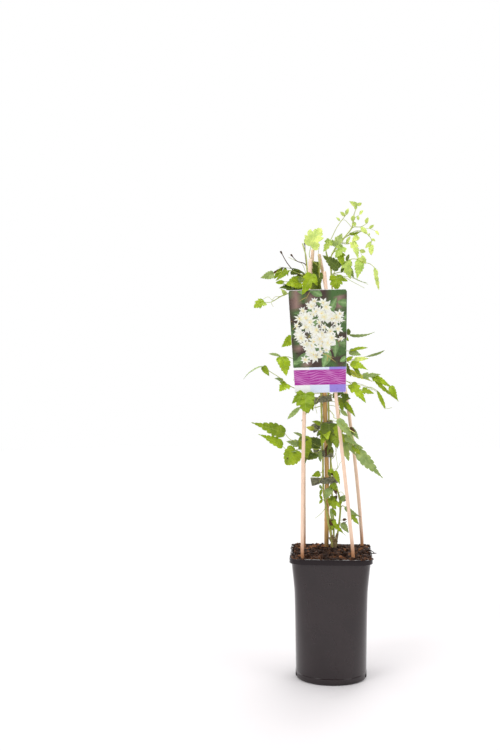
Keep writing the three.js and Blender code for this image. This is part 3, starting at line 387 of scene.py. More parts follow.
TOP_FINE = [
    sprig(770, [(30, -10, 776), (22, -12, 783), (14, -12, 781)], slip(1, (8, -14, 787), 5, "lime")),
    sprig(776, [(40, -12, 786), (48, -14, 792)], slip(1, (54, -16, 799), 6, "lime"),
        slip(0.8, (46, -16, 782), 5, "lime")),
    sprig(752, [(42, -13, 762), (62, -18, 768), (74, -20, 764)], slip(1, (80, -22, 756), 5, "lime"),
        slip(0.8, (72, -20, 774), 5, "lime")),
    sprig(745, [(26, -10, 744), (44, -14, 736), (52, -16, 722)], slip(1, (58, -18, 707), 8, "lime"),
        slip(0.8, (58, -16, 728), 7, "lime")),
    sprig(726, [(10, -8, 730), (14, -12, 722)], ovate(1, (19, -16, 703), 13),
        slip(0.8, (24, -14, 722), 7, "mid")),
    sprig(700, [(6, -6, 710), (20, -12, 704), (28, -14, 700)], ovate(1, (38, -18, 684), 12, "grey"),
        slip(0.8, (16, -14, 692), 6, "dark"), slip(1, (34, -14, 712), 8, "mid", 30)),
    sprig(690, [(16, -10, 688), (34, -14, 678), (56, -18, 666)]),
    sprig(682, [(12, -10, 680), (20, -12, 686), (40, -16, 682), (62, -20, 672)]),
]

# Radius, stem, side shoots, and finer growth that is too slight for the solid model.
VINES = {
    "vine_left": (1.65, LEFT_STEM, LEFT_SPRIGS, LEFT_FINE),
    "vine_middle": (1.7, MIDDLE_STEM, MIDDLE_SPRIGS, MIDDLE_FINE),
    "vine_right": (1.65, RIGHT_STEM, RIGHT_SPRIGS, RIGHT_FINE),
    "vine_top": (1.65, TOP_STEM, TOP_SPRIGS, TOP_FINE),
}

# The arms of the woody stock: points, thickness at the foot and at the end.
CROWN_ARMS = (
    ([(7.2, 20.5, 200), (7.2, 20.5, 212), (6.6, 20, 223), (6, 19.5, 231)], 3, 4.6),
    ([(6.8, 20, 216), (4.6, 18, 226), (1.8, 17, 237)], 3.2, 2.1),
    ([(7, 21, 216), (10, 22.5, 226), (12.6, 24.5, 238)], 3.2, 2),
    ([(6.8, 20, 218), (6.4, 17.5, 228), (5, 16, 235)], 2.6, 1.7),
    ([(5.4, 20, 220), (0.6, 21, 229), (-1.4, 21.5, 232)], 2.2, 1.6),
    ([(8, 21, 214), (10.4, 18, 213), (13, 16, 210)], 2, 1.1),
)

# The stem at the back climbs straight behind the bamboo and forks behind the card. Its leaflets
# are set out by a rule: stalks leave by turns to the left, to the back and to the right.
BACK_STEM = [
    (-4, 41.5, 192), (-5.6, 41.5, 300), (-6.6, 41.5, 400), (-9, 41, 478), (-17, 40, 530),
    (-20, 34, 590), (-21, 27, 650), (-24, 22, 690),
]
BACK_FORK = [(-4, 44, 510), (0, 44, 545), (-2, 40, 600), (-6, 33, 650), (-10, 28, 676)]
BACK_FORK_FROM = 486
BACK_SPRIGS = 8
BACK_FIRST = 502
BACK_LAST = 652
BACK_SIDES = (150, 95, 50)  # directions of the stalks, in degrees from +X
BACK_FAN = (-50, 0, 50)  # directions of the three leaflets, from their stalk's
BACK_SHAPES = (ovate, lance, lobed)
BACK_TONES = ("mid", "bright", "dark", "mid", "bright")

# ---- small mathematics ----


def mix(low, high, share):
    return low + (high - low) * share


def clamp(value, low=0, high=1):
    return max(low, min(high, value))


def smooth(low, high, value):
    """0 below low, 1 above high, and a soft rise between them."""
    share = clamp((value - low) / (high - low))
    return share * share * (3 - 2 * share)


def draw(seed):
    """A number from 0 to 1 that looks random and is the same each time for the same seed."""
    value = sin(seed * 12.9898) * 43758.5453
    return value - value // 1


def speckle(x, y, z):
    """Smooth noise at a place, from about -1 to 1."""
    return noise.noise(Vector((x, y, z)))


def blend(low, high, share):
    return tuple(mix(a, b, share) for a, b in zip(low, high))


def scaled(colour, factor):
    return tuple(clamp(part * factor) for part in colour)


class Route:
    """A smooth line through points, measured along its length."""

    STEPS = 24

    def __init__(self, points):
        self.knots = [Vector(point) for point in points]
        self.line = []
        for span in range(len(self.knots) - 1):
            for step in range(self.STEPS):
                self.line.append(self.between(span, step / self.STEPS))
        self.line.append(self.knots[-1].copy())
        self.lengths = [0]
        for before, after in zip(self.line, self.line[1:]):
            self.lengths.append(self.lengths[-1] + (after - before).length)

    def between(self, span, share):
        """A point on the centripetal curve between two neighbouring knots."""
        second, third = self.knots[span], self.knots[span + 1]
        first = self.knots[span - 1] if span else second * 2 - third
        last = self.knots[span + 2] if span + 2 < len(self.knots) else third * 2 - second
        gap_1 = sqrt((second - first).length)
        gap_2 = sqrt((third - second).length)
        gap_3 = sqrt((last - third).length)
        leave = (second - first) / gap_1 - (third - first) / (gap_1 + gap_2) + (third - second) / gap_2
        arrive = (third - second) / gap_2 - (last - second) / (gap_2 + gap_3) + (last - third) / gap_3
        leave = leave * gap_2
        arrive = arrive * gap_2
        square = (third - second) * 3 - leave * 2 - arrive
        cube = (second - third) * 2 + leave + arrive
        return second + leave * share + square * share**2 + cube * share**3

    def length(self):
        return self.lengths[-1]

    def at(self, share):
        """The point at a share of the length."""
        goal = clamp(share) * self.lengths[-1]
        high = min(bisect_right(self.lengths, goal), len(self.lengths) - 1)
        low = high - 1
        span = max(self.lengths[high] - self.lengths[low], 1e-9)
        return self.line[low].lerp(self.line[high], (goal - self.lengths[low]) / span)

    def at_height(self, height):
        """The point of a climbing line at a height."""
        return min(self.line, key=lambda point: abs(point.z - height)).copy()


# ---- forms ----

WHITE = (1, 1, 1)
UPPER = 0
UNDER = 1
STEM_SLOT = 0  # the first finish of a form, which every tube has
LEAF_SLOT = 1


def new_object(name, data):
    """An object in the scene."""
    made = bpy.data.objects.new(name, data)
    bpy.context.scene.collection.objects.link(made)
    return made


class Form:
    """Points and faces as they are gathered, with what the finish needs to know at each point:
    a tint with the face's side in its alpha, a place across and along the form, and a mark."""

    def __init__(self):
        self.points = []
        self.faces = []
        self.slots = []
        self.tints = []
        self.places = []
        self.marks = []

    def add(self, points, faces, slot=0, tints=WHITE, places=None, marks=0, side=UPPER):
        start = len(self.points)
        count = len(points)
        self.points += [tuple(point) for point in points]
        self.faces += [tuple(start + corner for corner in face) for face in faces]
        self.slots += [slot] * len(faces)
        tints = tints if isinstance(tints, list) else [tints] * count
        sides = side if isinstance(side, list) else [side] * count
        self.tints += [(*tint[:3], which) for tint, which in zip(tints, sides)]
        self.places += places if places else [(0, 0, 0)] * count
        self.marks += marks if isinstance(marks, list) else [marks] * count

    def turn(self, degrees):
        """Turns the points gathered so far about the upright axis."""
        turned = Matrix.Rotation(radians(degrees), 3, "Z")
        self.points = [tuple(turned @ Vector(point)) for point in self.points]

    def piece(self, name, finishes, record_slot, nodes, crease=40):
        """Makes the mesh in metres, attaches it to the body and hides the solid model's parts that it stands
        for.
        """
        mesh = bpy.data.meshes.new(name)
        mesh.from_pydata([[part * MM for part in point] for point in self.points], [], self.faces)
        for finish in finishes:
            mesh.materials.append(finish)
        mesh.polygons.foreach_set("material_index", self.slots)
        mesh.polygons.foreach_set("use_smooth", [True] * len(self.faces))
        told = (
            ("tint", "FLOAT_COLOR", "color", [part for each in self.tints for part in each]),
            ("place", "FLOAT_VECTOR", "vector", [part for each in self.places for part in each]),
            ("mark", "FLOAT", "value", self.marks),
        )
        for word, kind, field, values in told:
            mesh.attributes.new(word, kind, "POINT").data.foreach_set(field, values)
        turn_outwards(mesh)
        mesh.set_sharp_from_angle(angle=radians(crease))
        piece = new_object(name, mesh)
        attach(piece, BODY)
        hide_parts(*nodes)
        return piece


def turn_outwards(mesh):
    """Makes every face of the closed forms in a mesh look outwards."""
    working = bmesh.new()
    working.from_mesh(mesh)
    bmesh.ops.recalc_face_normals(working, faces=working.faces)
    working.to_mesh(mesh)
    working.free()


def frames_along(line):
    """For each point of a line its tangent and two directions across that turn as little as may be."""
    found = []
    normal = None
    for place in range(len(line)):
        before = line[max(place - 1, 0)]
        after = line[min(place + 1, len(line) - 1)]
        tangent = (after - before).normalized()
        if normal is None:
            normal = Vector((0, 1, 0)) if abs(tangent.y) < 0.9 else Vector((1, 0, 0))
        normal = (normal - tangent * normal.dot(tangent)).normalized()
        found.append((tangent, normal, tangent.cross(normal)))
    return found


def ring_faces(rings, sides):
    """The quads between rings of points that follow each other, and a fan over each end point."""
    faces = []
    for ring in range(rings - 1):
        for side in range(sides):
            after = (side + 1) % sides
            low = ring * sides
            faces.append((low + side, low + after, low + sides + after, low + sides + side))
    first_tip = rings * sides
    for side in range(sides):
        after = (side + 1) % sides
        faces.append((after, side, first_tip))
        last = (rings - 1) * sides
        faces.append((last + side, last + after, first_tip + 1))
    return faces


def add_tube(form, route, radius, sides, steps, tint=WHITE, rounding=0.6, knobs=None):
    """A round stem along a route. Radius and tint may follow the share of the length, and knobs
    may swell or dent it by share and angle. The ends are rounded."""
    radius_at = radius if callable(radius) else lambda share: radius
    tint_at = tint if callable(tint) else lambda share: tint
    shares = [step / steps for step in range(steps + 1)]
    line = [route.at(share) for share in shares]
    frames = frames_along(line)
    caps = [(0.35, 0.9), (0.75, 0.6)]
    rings = []
    first, last = radius_at(0), radius_at(1)
    for out, size in reversed(caps):
        rings.append((line[0] - frames[0][0] * first * out * rounding, frames[0], first * size, 0))
    for share, point, axes in zip(shares, line, frames):
        rings.append((point, axes, radius_at(share), share))
    for out, size in caps:
        rings.append((line[-1] + frames[-1][0] * last * out * rounding, frames[-1], last * size, 1))
    points, tints, places = [], [], []
    for middle, (_, across, beside), size, share in rings:
        for side in range(sides):
            angle = 2 * pi * side / sides
            swell = knobs(share, angle) if knobs else 1
            points.append(middle + (across * cos(angle) + beside * sin(angle)) * size * swell)
            tints.append(tint_at(share))
            places.append((side / sides, share * route.length(), 0))
    points.append(line[0] - frames[0][0] * first * rounding)
    points.append(line[-1] + frames[-1][0] * last * rounding)
    tints += [tint_at(0), tint_at(1)]
    places += [(0, 0, 0), (0, route.length(), 0)]
    form.add(points, ring_faces(len(rings), sides), STEM_SLOT, tints, places)


def rim_faces(border, count):
    """The quads between a sheet's border and the same border behind it."""
    return [
        (here, count + here, count + there, there)
        for here, there in zip(border, border[1:] + border[:1])
    ]


def sheet_faces(rows, wide):
    """The faces of a thin closed sheet: a grid of points, the same grid behind it, and the rim."""
    count = rows * wide
    faces = []
    for row in range(rows - 1):
        for place in range(wide - 1):
            corner = row * wide + place
            quad = (corner, corner + 1, corner + wide + 1, corner + wide)
            faces += [quad, tuple(count + each for each in reversed(quad))]
    border = list(range(wide)) + [row * wide + wide - 1 for row in range(1, rows)]
    border += [(rows - 1) * wide + place for place in range(wide - 2, -1, -1)]
    border += [row * wide for row in range(rows - 2, 0, -1)]
    return faces + rim_faces(border, count)


# ---- leafy stems ----

BLADE_COLUMNS = (0.14, 0.36, 0.6, 0.82, 1)
SLIP_COLUMNS = (0.3, 0.7, 1)
SWELL = 0.12  # how far the margin swells between its teeth
VEIN_LEAN = 0.5  # how far the side veins run forward, from the midrib to the margin
PALE_STEM = (0.52, 0.6, 0.2)
PALE_HEIGHTS = (680, 750)  # between these the stems grow pale
THIN_EDGE = 0.45  # the margin's thickness, as a share of the blade's
RIB_SUNK = 0.12  # how deep the midrib lies in the blade
RIB_SHARES = (0, 0.2, 0.45, 0.7, 0.9)
STUB_RADIUS = 1.05
TENDRIL_RADIUS = 0.5
STALK_RADIUS = 0.82
BACK_RADIUS = 1.5
KNOB_STEPS = 200
KNOB_REACH = 3
QUILT = 0.035  # how far the blade stands up between the veins, as a share of the width


def outline_of(shape, length, width):
    """The right margin from base to tip in millimetres, and the midrib's point for each of its
    points. The margin swells between the corners of the half outline, which stay sharp as teeth."""
    veins, knots = OUTLINES[shape]
    corners = [Vector((out * width / 2, along * length, 0)) for out, along in knots]
    margins = []
    for here, there in zip(corners, corners[1:]):
        ahead = there - here
        margins.append(here)
        margins.append((here + there) / 2 + Vector((ahead.y, -ahead.x, 0)) * SWELL)
    margins.append(corners[-1])
    ribs = []
    highest = 0
    for row, spot in enumerate(margins):
        highest = max(highest, spot.y - VEIN_LEAN * spot.x)
        share = row / (len(margins) - 1)
        ribs.append(clamp(mix(share * length, highest, 0.85), 0, length))
    ribs[0], ribs[-1] = 0, length
    for row in range(1, len(ribs)):
        ribs[row] = max(ribs[row], ribs[row - 1] + 1e-3)
    return margins, ribs, veins


def lift_of(length, width, seed):
    """How far a blade rises over its flat outline: bowed, folded up from the midrib and rippled."""
    bow = BOW * length * mix(0.4, 1.6, draw(seed))

    def lift(x, y):
        along = y / length
        out = abs(x) / width
        ripple = RIPPLE * width * sin(along * WAVES + seed) * min(1, 4 * out)
        return bow * sin(pi * along) + FOLD * width * out + ripple

    return lift


def add_leaflet(form, each, base, seed, tones):
    """A leaflet from its base to its tip: a thin closed blade with its midrib."""
    along = Vector(each.tip) - base
    length = along.length
    along.normalize()
    up = Vector((0, -1, SKYWARD))
    up = (up - along * up.dot(along)).normalized()
    turn = radians(each.turn + SWAY * (draw(seed + 0.5) - 0.5))
    up.rotate(Matrix.Rotation(turn, 3, along))
    across = along.cross(up)
    width = each.width
    columns = SLIP_COLUMNS if each.shape == "slip" else BLADE_COLUMNS
    margins, ribs, veins = outline_of(each.shape, length, width)
    spots = [-out for out in reversed(columns)] + [0] + list(columns)
    rows = len(margins) - 1
    lift = lift_of(length, width, seed)
    tone = scaled(tones[each.tone], mix(0.86, 1.14, draw(seed + 0.9)))
    yellow = blend(tone, tones["yellow"], 0.35 * draw(seed + 0.2))

    def placed(x, y, z):
        return base + across * x + along * y + up * z

    def height(x, y, share, out):
        quilt = QUILT * width * (abs(sin(pi * share * veins)) - 0.5) * sin(pi * out)
        return lift(x, y) + quilt * sin(pi * share)

    def face_points(thick):
        points, places, tints = [placed(0, 0, height(0, 0, 0, 0) + thick)], [(0, 0, seed)], [tone]
        for row in range(1, rows):
            share = row / rows
            for signed in spots:
                out = abs(signed)
                x = margins[row].x * signed
                y = mix(ribs[row], margins[row].y, out)
                thin = thick * (THIN_EDGE if out == 1 else 1)
                points.append(placed(x, y, height(x, y, share, out) + thin))
                places.append((signed, share, seed))
                tints.append(blend(tone, yellow, out * share))
        points.append(placed(0, length, height(0, length, 1, 0) + thick))
        places.append((0, 1, seed))
        tints.append(yellow)
        return points, places, tints

    upper, places, tints = face_points(BLADE_SHEET / 2)
    under, _, _ = face_points(-BLADE_SHEET / 2)
    wide = len(spots)
    count = len(upper)
    faces = []
    for place in range(wide - 1):
        faces.append((0, 1 + place + 1, 1 + place))
        last = 1 + (rows - 2) * wide
        faces.append((last + place, last + place + 1, count - 1))
    for row in range(rows - 2):
        for place in range(wide - 1):
            corner = 1 + row * wide + place
            faces.append((corner, corner + 1, corner + wide + 1, corner + wide))
    mirrored = [tuple(count + corner for corner in reversed(face)) for face in faces]
    border = [0] + [1 + row * wide + wide - 1 for row in range(rows - 1)]
    border += [count - 1] + [1 + row * wide for row in range(rows - 2, -1, -1)]
    brown = 1 if each.tone == "brown" else 0
    tips = [clamp(brown + edge_browning(seed, place) + spotted(each.spots, place)) for place in places]
    form.add(
        upper + under, faces + mirrored + rim_faces(border, count), LEAF_SLOT, tints + tints,
        places + places, tips + tips, [UPPER] * count + [UNDER] * count,
    )
    rib_line = [placed(0, length * share, lift(0, length * share) - RIB_SUNK) for share in RIB_SHARES]
    thick = clamp(width * 0.026, 0.22, 0.55)
    add_tube(
        form, Route(rib_line), lambda share: thick * mix(1, 0.35, share),
        sides=6, steps=8, tint=scaled(tone, 0.9),
    )


def edge_browning(seed, place):
    """Some leaflets are browned at the tip or along one margin."""
    across, share, _ = place
    if draw(seed + 0.35) > 0.16:
        return 0
    return 0.8 * smooth(0.86, 1, share) + 0.7 * smooth(0.8, 1, across) * smooth(0.5, 0.9, share)


def spotted(spots, place):
    """Brown spots of a leaflet, by share across, share along and reach."""
    across, share, _ = place
    return sum(1.2 * smooth(reach, 0, hypot((across - x) / 2, share - y)) for x, y, reach in spots)


def stem_knobs(route, heights, size):
    """Swellings of a stem where its side shoots leave it."""
    steps = range(KNOB_STEPS + 1)
    line = [route.at(step / KNOB_STEPS).z for step in steps]
    shares = [min(steps, key=lambda step: abs(line[step] - height)) / KNOB_STEPS for height in heights]
    reach = KNOB_REACH / max(route.length(), 1)

    def knobs(share, angle):
        near = max((1 - abs(share - each) / reach for each in shares), default=0)
        return 1 + size * smooth(0, 1, near) + 0.05 * sin(7 * angle / 2 + share * 90)

    return knobs


def paled(colour, height):
    """The colour of a stem or stalk at a height: paler on the young growth at the top."""
    return blend(colour, PALE_STEM, 0.8 * smooth(*PALE_HEIGHTS, height))


def add_shoot(form, start, each, seed, tones, stem_colour, fine=False):
    """A side shoot's stalk with its leaflets. A bare one is a cut stub with a knob at its end, or
    where it is fine a tendril."""
    route = Route([start] + list(each.way))
    stub = not each.leaves and not fine
    thick = STUB_RADIUS if stub else TENDRIL_RADIUS if fine else STALK_RADIUS
    colour = tones["brown"] if stub else paled(blend(stem_colour, tones["bright"], 0.45), start.z)
    knob = 1.1 if stub else 0
    add_tube(
        form, route, lambda share: thick * (mix(1, 0.62, share) + knob * smooth(0.92, 0.98, share)),
        sides=7, steps=8 * len(each.way), tint=colour,
    )
    for place, every in enumerate(each.leaves):
        base = route.at(min(every.along, SUNK_END))
        add_leaflet(form, every, base, seed + place, tones)


def add_stem(form, points, radius, heights, young, old):
    """The main stem, woody at the foot, green above and pale at the top, slimmer towards its tip."""
    route = Route(points)

    def tint(share):
        height = route.at(share).z
        woody = 1 - smooth(SOIL_EDGE, SOIL_EDGE + 24, height)
        streak = 0.25 * smooth(0.55, 0.9, speckle(height * 0.045, radius * 9, 3.1) + 0.5)
        streak *= 1 - smooth(*PALE_HEIGHTS, height)
        return blend(paled(young, height), old, clamp(woody * 0.92 + streak))

    add_tube(
        form, route, lambda share: radius * mix(1, 0.72, smooth(0.5, 1, share)),
        sides=10, steps=6 * len(points), tint=tint, knobs=stem_knobs(route, heights, 0.35),
    )
    return route


def add_crown(form, young, old):
    """The gnarled stock that the stems grow from: narrow at the soil, parted above."""
    bark = blend(old, young, 0.12)

    def knobs(share, angle):
        here = Vector((share * 4.2, cos(angle) * 1.4, sin(angle) * 1.4))
        return 1 + 0.5 * noise.noise(here * 1.3) + 0.28 * noise.noise(here * 4.5)

    for points, low, high in CROWN_ARMS:
        add_tube(
            form, Route(points), lambda share: mix(low, high, share), sides=16, steps=24,
            tint=lambda share: blend(old, bark, share), knobs=knobs,
        )


def add_back_stem(tones, young, old, finishes):
    """The stem behind the bamboo, forked behind the card, with leaflets in threes."""
    form = Form()
    step = (BACK_LAST - BACK_FIRST) / (BACK_SPRIGS - 1)
    heights = [BACK_FIRST + step * number for number in range(BACK_SPRIGS)]
    main = add_stem(form, BACK_STEM, BACK_RADIUS, heights[::2], young, old)
    fork_points = [tuple(main.at_height(BACK_FORK_FROM))] + BACK_FORK
    fork = add_stem(form, fork_points, BACK_RADIUS, heights[1::2], young, old)
    for number, height in enumerate(heights):
        start = (fork if number % 2 else main).at_height(height)
        side = radians(BACK_SIDES[number % 3] + 30 * (draw(number) - 0.5))
        reach = mix(14, 24, draw(number + 0.3))
        end = start + Vector((cos(side) * reach, sin(side) * reach, 8))
        leaves = []
        for place, spread in enumerate(BACK_FAN):
            long = mix(22, 30, draw(number + place * 7.7))
            way = side + radians(spread)
            drop = mix(0.3, 0.8, draw(number + place))
            out = Vector((cos(way) * 0.75, sin(way) * 0.75, -drop))
            shape = BACK_SHAPES[(number + place) % 3]
            tone = BACK_TONES[(number * 3 + place) % len(BACK_TONES)]
            leaves.append(shape(1, tuple(end + out * long), long * 0.58, tone, 180))
        add_shoot(form, start, sprig(0, [tuple(end)], *leaves), 300 + 5 * number, tones, young)
    form.piece("leafy_stem_back", finishes, "foliage", ["vine_back"], 50)


# ---- the pot ----

CORNER_POINTS = 18
SIDE_POINTS = 3


def ring_at(reach, height):
    """A ring round the axis, squared off: round at the foot, square with round corners at the rim."""
    square = mix(FOOT_SQUARE, 1, clamp(height / POT_HEIGHT))
    corner = reach * mix(1, CORNER_SHARE, square)
    flat = reach - corner
    quarter = [(reach, flat * place / SIDE_POINTS) for place in range(SIDE_POINTS)]
    for place in range(CORNER_POINTS + 1):
        angle = pi / 2 * place / CORNER_POINTS
        quarter.append((flat + corner * cos(angle), flat + corner * sin(angle)))
    quarter += [(flat * (SIDE_POINTS - place) / SIDE_POINTS, reach) for place in range(1, SIDE_POINTS)]
    ring = []
    for turn in range(4):
        for x, y in quarter:
            for _ in range(turn):
                x, y = -y, x
            ring.append((x, y))
    return ring


def wall_reach(height):
    """Outside of the wall at a height: nearly upright at first, then flaring to the lip."""
    over = height - FLARE_FROM
    return LOW_REACH + TAPER * height + FLARE * (over + hypot(over, FLARE_SOFT)) / 2


def rounded(corner, size, start, steps=4):
    """Profile points of a quarter round edge. Start is its first direction, in quarter turns."""
    middle_reach, middle_height = corner
    points = []
    for step in range(steps + 1):
        angle = pi / 2 * (start + step / steps)
        points.append((middle_reach + size * cos(angle), middle_height + size * sin(angle)))
    return points


def add_rings(form, profile, lift=lambda x, y, z: 0):
    """A closed body of squared rings. The profile starts and ends on the axis."""
    rings = []
    for reach, height in profile[1:-1]:
        rings.append([(x, y, height + lift(x, y, height)) for x, y in ring_at(reach, height)])
    points = [point for ring in rings for point in ring]
    top = profile[-1][1]
    points += [(0, 0, profile[0][1]), (0, 0, top + lift(0, 0, top))]
    form.add(points, ring_faces(len(rings), len(rings[0])))


def pot_profile():
    lip_low = POT_HEIGHT - LIP_HEIGHT
    outside = [(wall_reach(height), height) for height in range(FOOT_HEIGHT + 2, lip_low - 3, 7)]
    inside = [(wall_reach(height) - WALL, height) for height in range(200, 4, -14)]
    profile = [(0, 0), (20, 0), (40, 0)]
    profile += rounded((FOOT_REACH - 2, 2), 2, 3)
    over = FOOT_HEIGHT + 0.8
    profile += [(FOOT_REACH, FOOT_HEIGHT - 0.6), (FOOT_REACH - 0.15, FOOT_HEIGHT), (wall_reach(over), over)]
    profile += outside
    under = wall_reach(lip_low)
    profile += [(under, lip_low - 1.2), (under + 0.4, lip_low - 0.3), (under + 1.2, lip_low)]
    profile += rounded((LIP_REACH - 1.3, lip_low + 1.3), 1.3, 3)
    profile += [(LIP_REACH - 0.25, POT_HEIGHT - 5)]
    profile += rounded((LIP_REACH - 1.2, POT_HEIGHT - 1.2), 1.2, 0)
    top = wall_reach(POT_HEIGHT) - WALL
    profile += rounded((top + 1, POT_HEIGHT - 1), 1, 1)
    profile += inside
    profile += [(wall_reach(FLOOR) - WALL, FLOOR), (30, FLOOR), (0, FLOOR)]
    return profile


def slot_cutter():
    """Rounded blocks at the foot where the water drains out, as one object to cut away."""
    working = bmesh.new()
    for angle in SLOT_ANGLES:
        made = bmesh.ops.create_cube(working, size=1)
        corners = made["verts"]
        size = Matrix.Diagonal((SLOT_HEIGHT * 3 * MM, SLOT_WIDTH * MM, SLOT_HEIGHT * 2 * MM, 1))
        place = Matrix.Rotation(radians(angle + POT_TURN), 4, "Z")
        place = place @ Matrix.Translation((FOOT_REACH * MM, 0, 0))
        bmesh.ops.transform(working, matrix=place @ size, verts=corners)
    edges = [edge for edge in working.edges if edge.calc_length() > 0]
    bmesh.ops.bevel(working, geom=edges, offset=1.6 * MM, segments=3, affect="EDGES")
    mesh = bpy.data.meshes.new("slot_cutter")
    working.to_mesh(mesh)
    working.free()
    return new_object("slot_cutter", mesh)


def apply_modifiers(piece):
    """Keeps the shape that a piece's modifiers give it, and removes them."""
    graph = bpy.context.evaluated_depsgraph_get()
    shaped = bpy.data.meshes.new_from_object(piece.evaluated_get(graph))
    piece.modifiers.clear()
    before = piece.data
    piece.data = shaped
    shaped.name = before.name
    bpy.data.meshes.remove(before)


# ---- the soil ----

SOIL_SEED = 11
SOIL_RINGS = 44
CRUMB_SIZES = (0.7, 0.9, 1.3, 1.9, 2.8, 4.2)
RIM_SIZES = (0.5, 0.7, 0.9, 1.3, 1.8)
FIBRE_SPANS = 4
RIDGE = (-24, 38)  # middle of the drier heap
RIDGE_CLODS = 60
RIDGE_ROOTS = 16
RIM_BITS = 520
RIM_CLODS = ((67, -38, 212.6, 2.2), (-68, -44, 212.5, 1.6), (69, -52, 211, 1.8), (-63, -63, 212, 1.2))
RIM_ROOTS = (
    [(60, -14, 209), (66, -16, 213.5), (72, -15, 213), (77, -17, 214)],
    [(58, 10, 210), (65, 6, 214), (70, 2, 213.5), (74, 1, 211)],
    [(-58, 22, 209), (-66, 20, 213.6), (-71, 24, 212)],
)


def soil_rise(x, y):
    """Height of the soil over its edge: the solid model's mound, broken up by clods."""
    out = min(1, hypot(x, y) / wall_reach(SOIL_EDGE))
    lumps = sin(x * 0.31 + 1) * cos(y * 0.27) + sin(x * 0.13 - y * 0.21) / 2
    clods = 5.4 * noise.fractal(Vector((x * 0.085, y * 0.085, 4.2)), 0.9, 2.1, 5)
    return SOIL_MOUND * (1 - out * out) + 1.3 * lumps * (1 - out) + clods * mix(1, 0.45, out)


def clod(form, middle, size, chance, tint):
    """A crumb of soil: a lumpy ball, flattened and turned by chance."""
    working = bmesh.new()
    bmesh.ops.create_icosphere(working, subdivisions=2, radius=1)
    stretch = Matrix.Diagonal((chance.uniform(0.6, 1.3), chance.uniform(0.6, 1.2), chance.uniform(0.45, 0.9)))
    turn = Matrix.Rotation(chance.uniform(0, 6.28), 3, "Z")
    turn = turn @ Matrix.Rotation(chance.uniform(-0.7, 0.7), 3, "X")
    shift = Vector((chance.uniform(0, 50), chance.uniform(0, 50), 0))
    points = []
    for vertex in working.verts:
        rough = 1 + 0.45 * noise.noise(vertex.co * 1.6 + shift) + 0.2 * noise.noise(vertex.co * 4 + shift)
        points.append(Vector(middle) + turn @ (stretch @ (vertex.co * size * rough)))
    faces = [[vertex.index for vertex in face.verts] for face in working.faces]
    working.free()
    form.add(points, faces, tints=tint)


def add_fibre(form, middle, length, thick, chance, tint):
    """A thin root or straw that lies on the soil and bends."""
    heading = chance.uniform(0, 2 * pi)
    bend = chance.uniform(-1.1, 1.1)
    points = []
    spot = Vector(middle)
    for _ in range(FIBRE_SPANS + 1):
        points.append(spot.copy())
        heading += bend / FIBRE_SPANS
        ahead = Vector((cos(heading), sin(heading), chance.uniform(-0.25, 0.35) * 0.5))
        spot = spot + ahead * length / FIBRE_SPANS
    add_tube(form, Route(points), lambda share: thick * mix(1, 0.5, share), sides=5, steps=10, tint=tint)


def spot_inside(chance, reach):
    """A place inside the squared rim."""
    while True:
        x, y = chance.uniform(-reach, reach), chance.uniform(-reach, reach)
        corner = reach * (1 - CORNER_SHARE)
        over = Vector((max(abs(x) - corner, 0), max(abs(y) - corner, 0)))
        if over.length < reach * CORNER_SHARE:
            return x, y


def add_ridge(form, chance, crumb):
    """A drier, lighter heap at the back on the left, with old roots in it."""
    left, back = RIDGE
    for _ in range(RIDGE_CLODS):
        x, y = chance.gauss(left, 9), chance.gauss(back, 6)
        level = SOIL_EDGE + soil_rise(x, y) + 2.6 * exp(-(((x - left) / 12) ** 2))
        tint = scaled(crumb, chance.uniform(0.5, 1.7))
        clod(form, (x, y, level), chance.uniform(1.2, 3.6), chance, tint)
    dry = scaled(crumb, 1.5)
    for _ in range(RIDGE_ROOTS):
        x, y = chance.gauss(left + 2, 12), chance.gauss(back - 8, 9)
        level = SOIL_EDGE + soil_rise(x, y) + 2.5
        add_fibre(form, (x, y, level), chance.uniform(10, 24), chance.uniform(0.5, 0.9), chance, dry)


def add_rim_bits(form, chance, peat, crumb):
    """Crumbs and roots that lie on the lip or hang over it."""
    for _ in range(RIM_BITS):
        reach = chance.uniform(60, 68.5)
        x, y = chance.choice(ring_at(reach, POT_HEIGHT))
        size = chance.choice(RIM_SIZES) * chance.uniform(0.8, 1.3)
        level = mix(SOIL_EDGE + 0.6, POT_HEIGHT, smooth(60, 64.5, reach)) + size * chance.uniform(0, 0.45)
        tint = blend(peat, crumb, chance.random() ** 3.5)
        spot = (x + chance.uniform(-2, 2), y + chance.uniform(-0.8, 0.8), level)
        clod(form, spot, size, chance, tint)
    for x, y, z, size in RIM_CLODS:
        clod(form, (x, y, z), size, chance, blend(peat, crumb, 0.25))
    for root in RIM_ROOTS:
        add_tube(form, Route(root), lambda share: mix(1.3, 0.6, share), sides=6, steps=14, tint=peat)


# ---- the canes ----


def uneven_stick(seed):
    """The slight unevenness of a peeled stick."""
    def knobs(share, angle):
        here = Vector((share * 14, cos(angle) * 0.7, sin(angle) * 0.7 + seed))
        return 1 + 0.05 * noise.noise(here) - 0.02
    return knobs


def jointed_bamboo(route):
    """The bamboo's radius: a ridge with a groove under it at each joint."""
    def knobs(share, angle):
        height = route.at(share).z
        swell = 0
        for joint in BAMBOO_JOINTS:
            off = height - joint
            swell += (BAMBOO_JOINT_RADIUS - BAMBOO_RADIUS) * exp(-((off / 1.3) ** 2))
            swell -= 0.3 * exp(-((off + 3.2) ** 2))
        rough = 0.1 * speckle(height * 0.02, cos(angle), sin(angle))
        return BAMBOO_RADIUS - 0.1 + swell + rough
    return knobs


# ---- the card ----

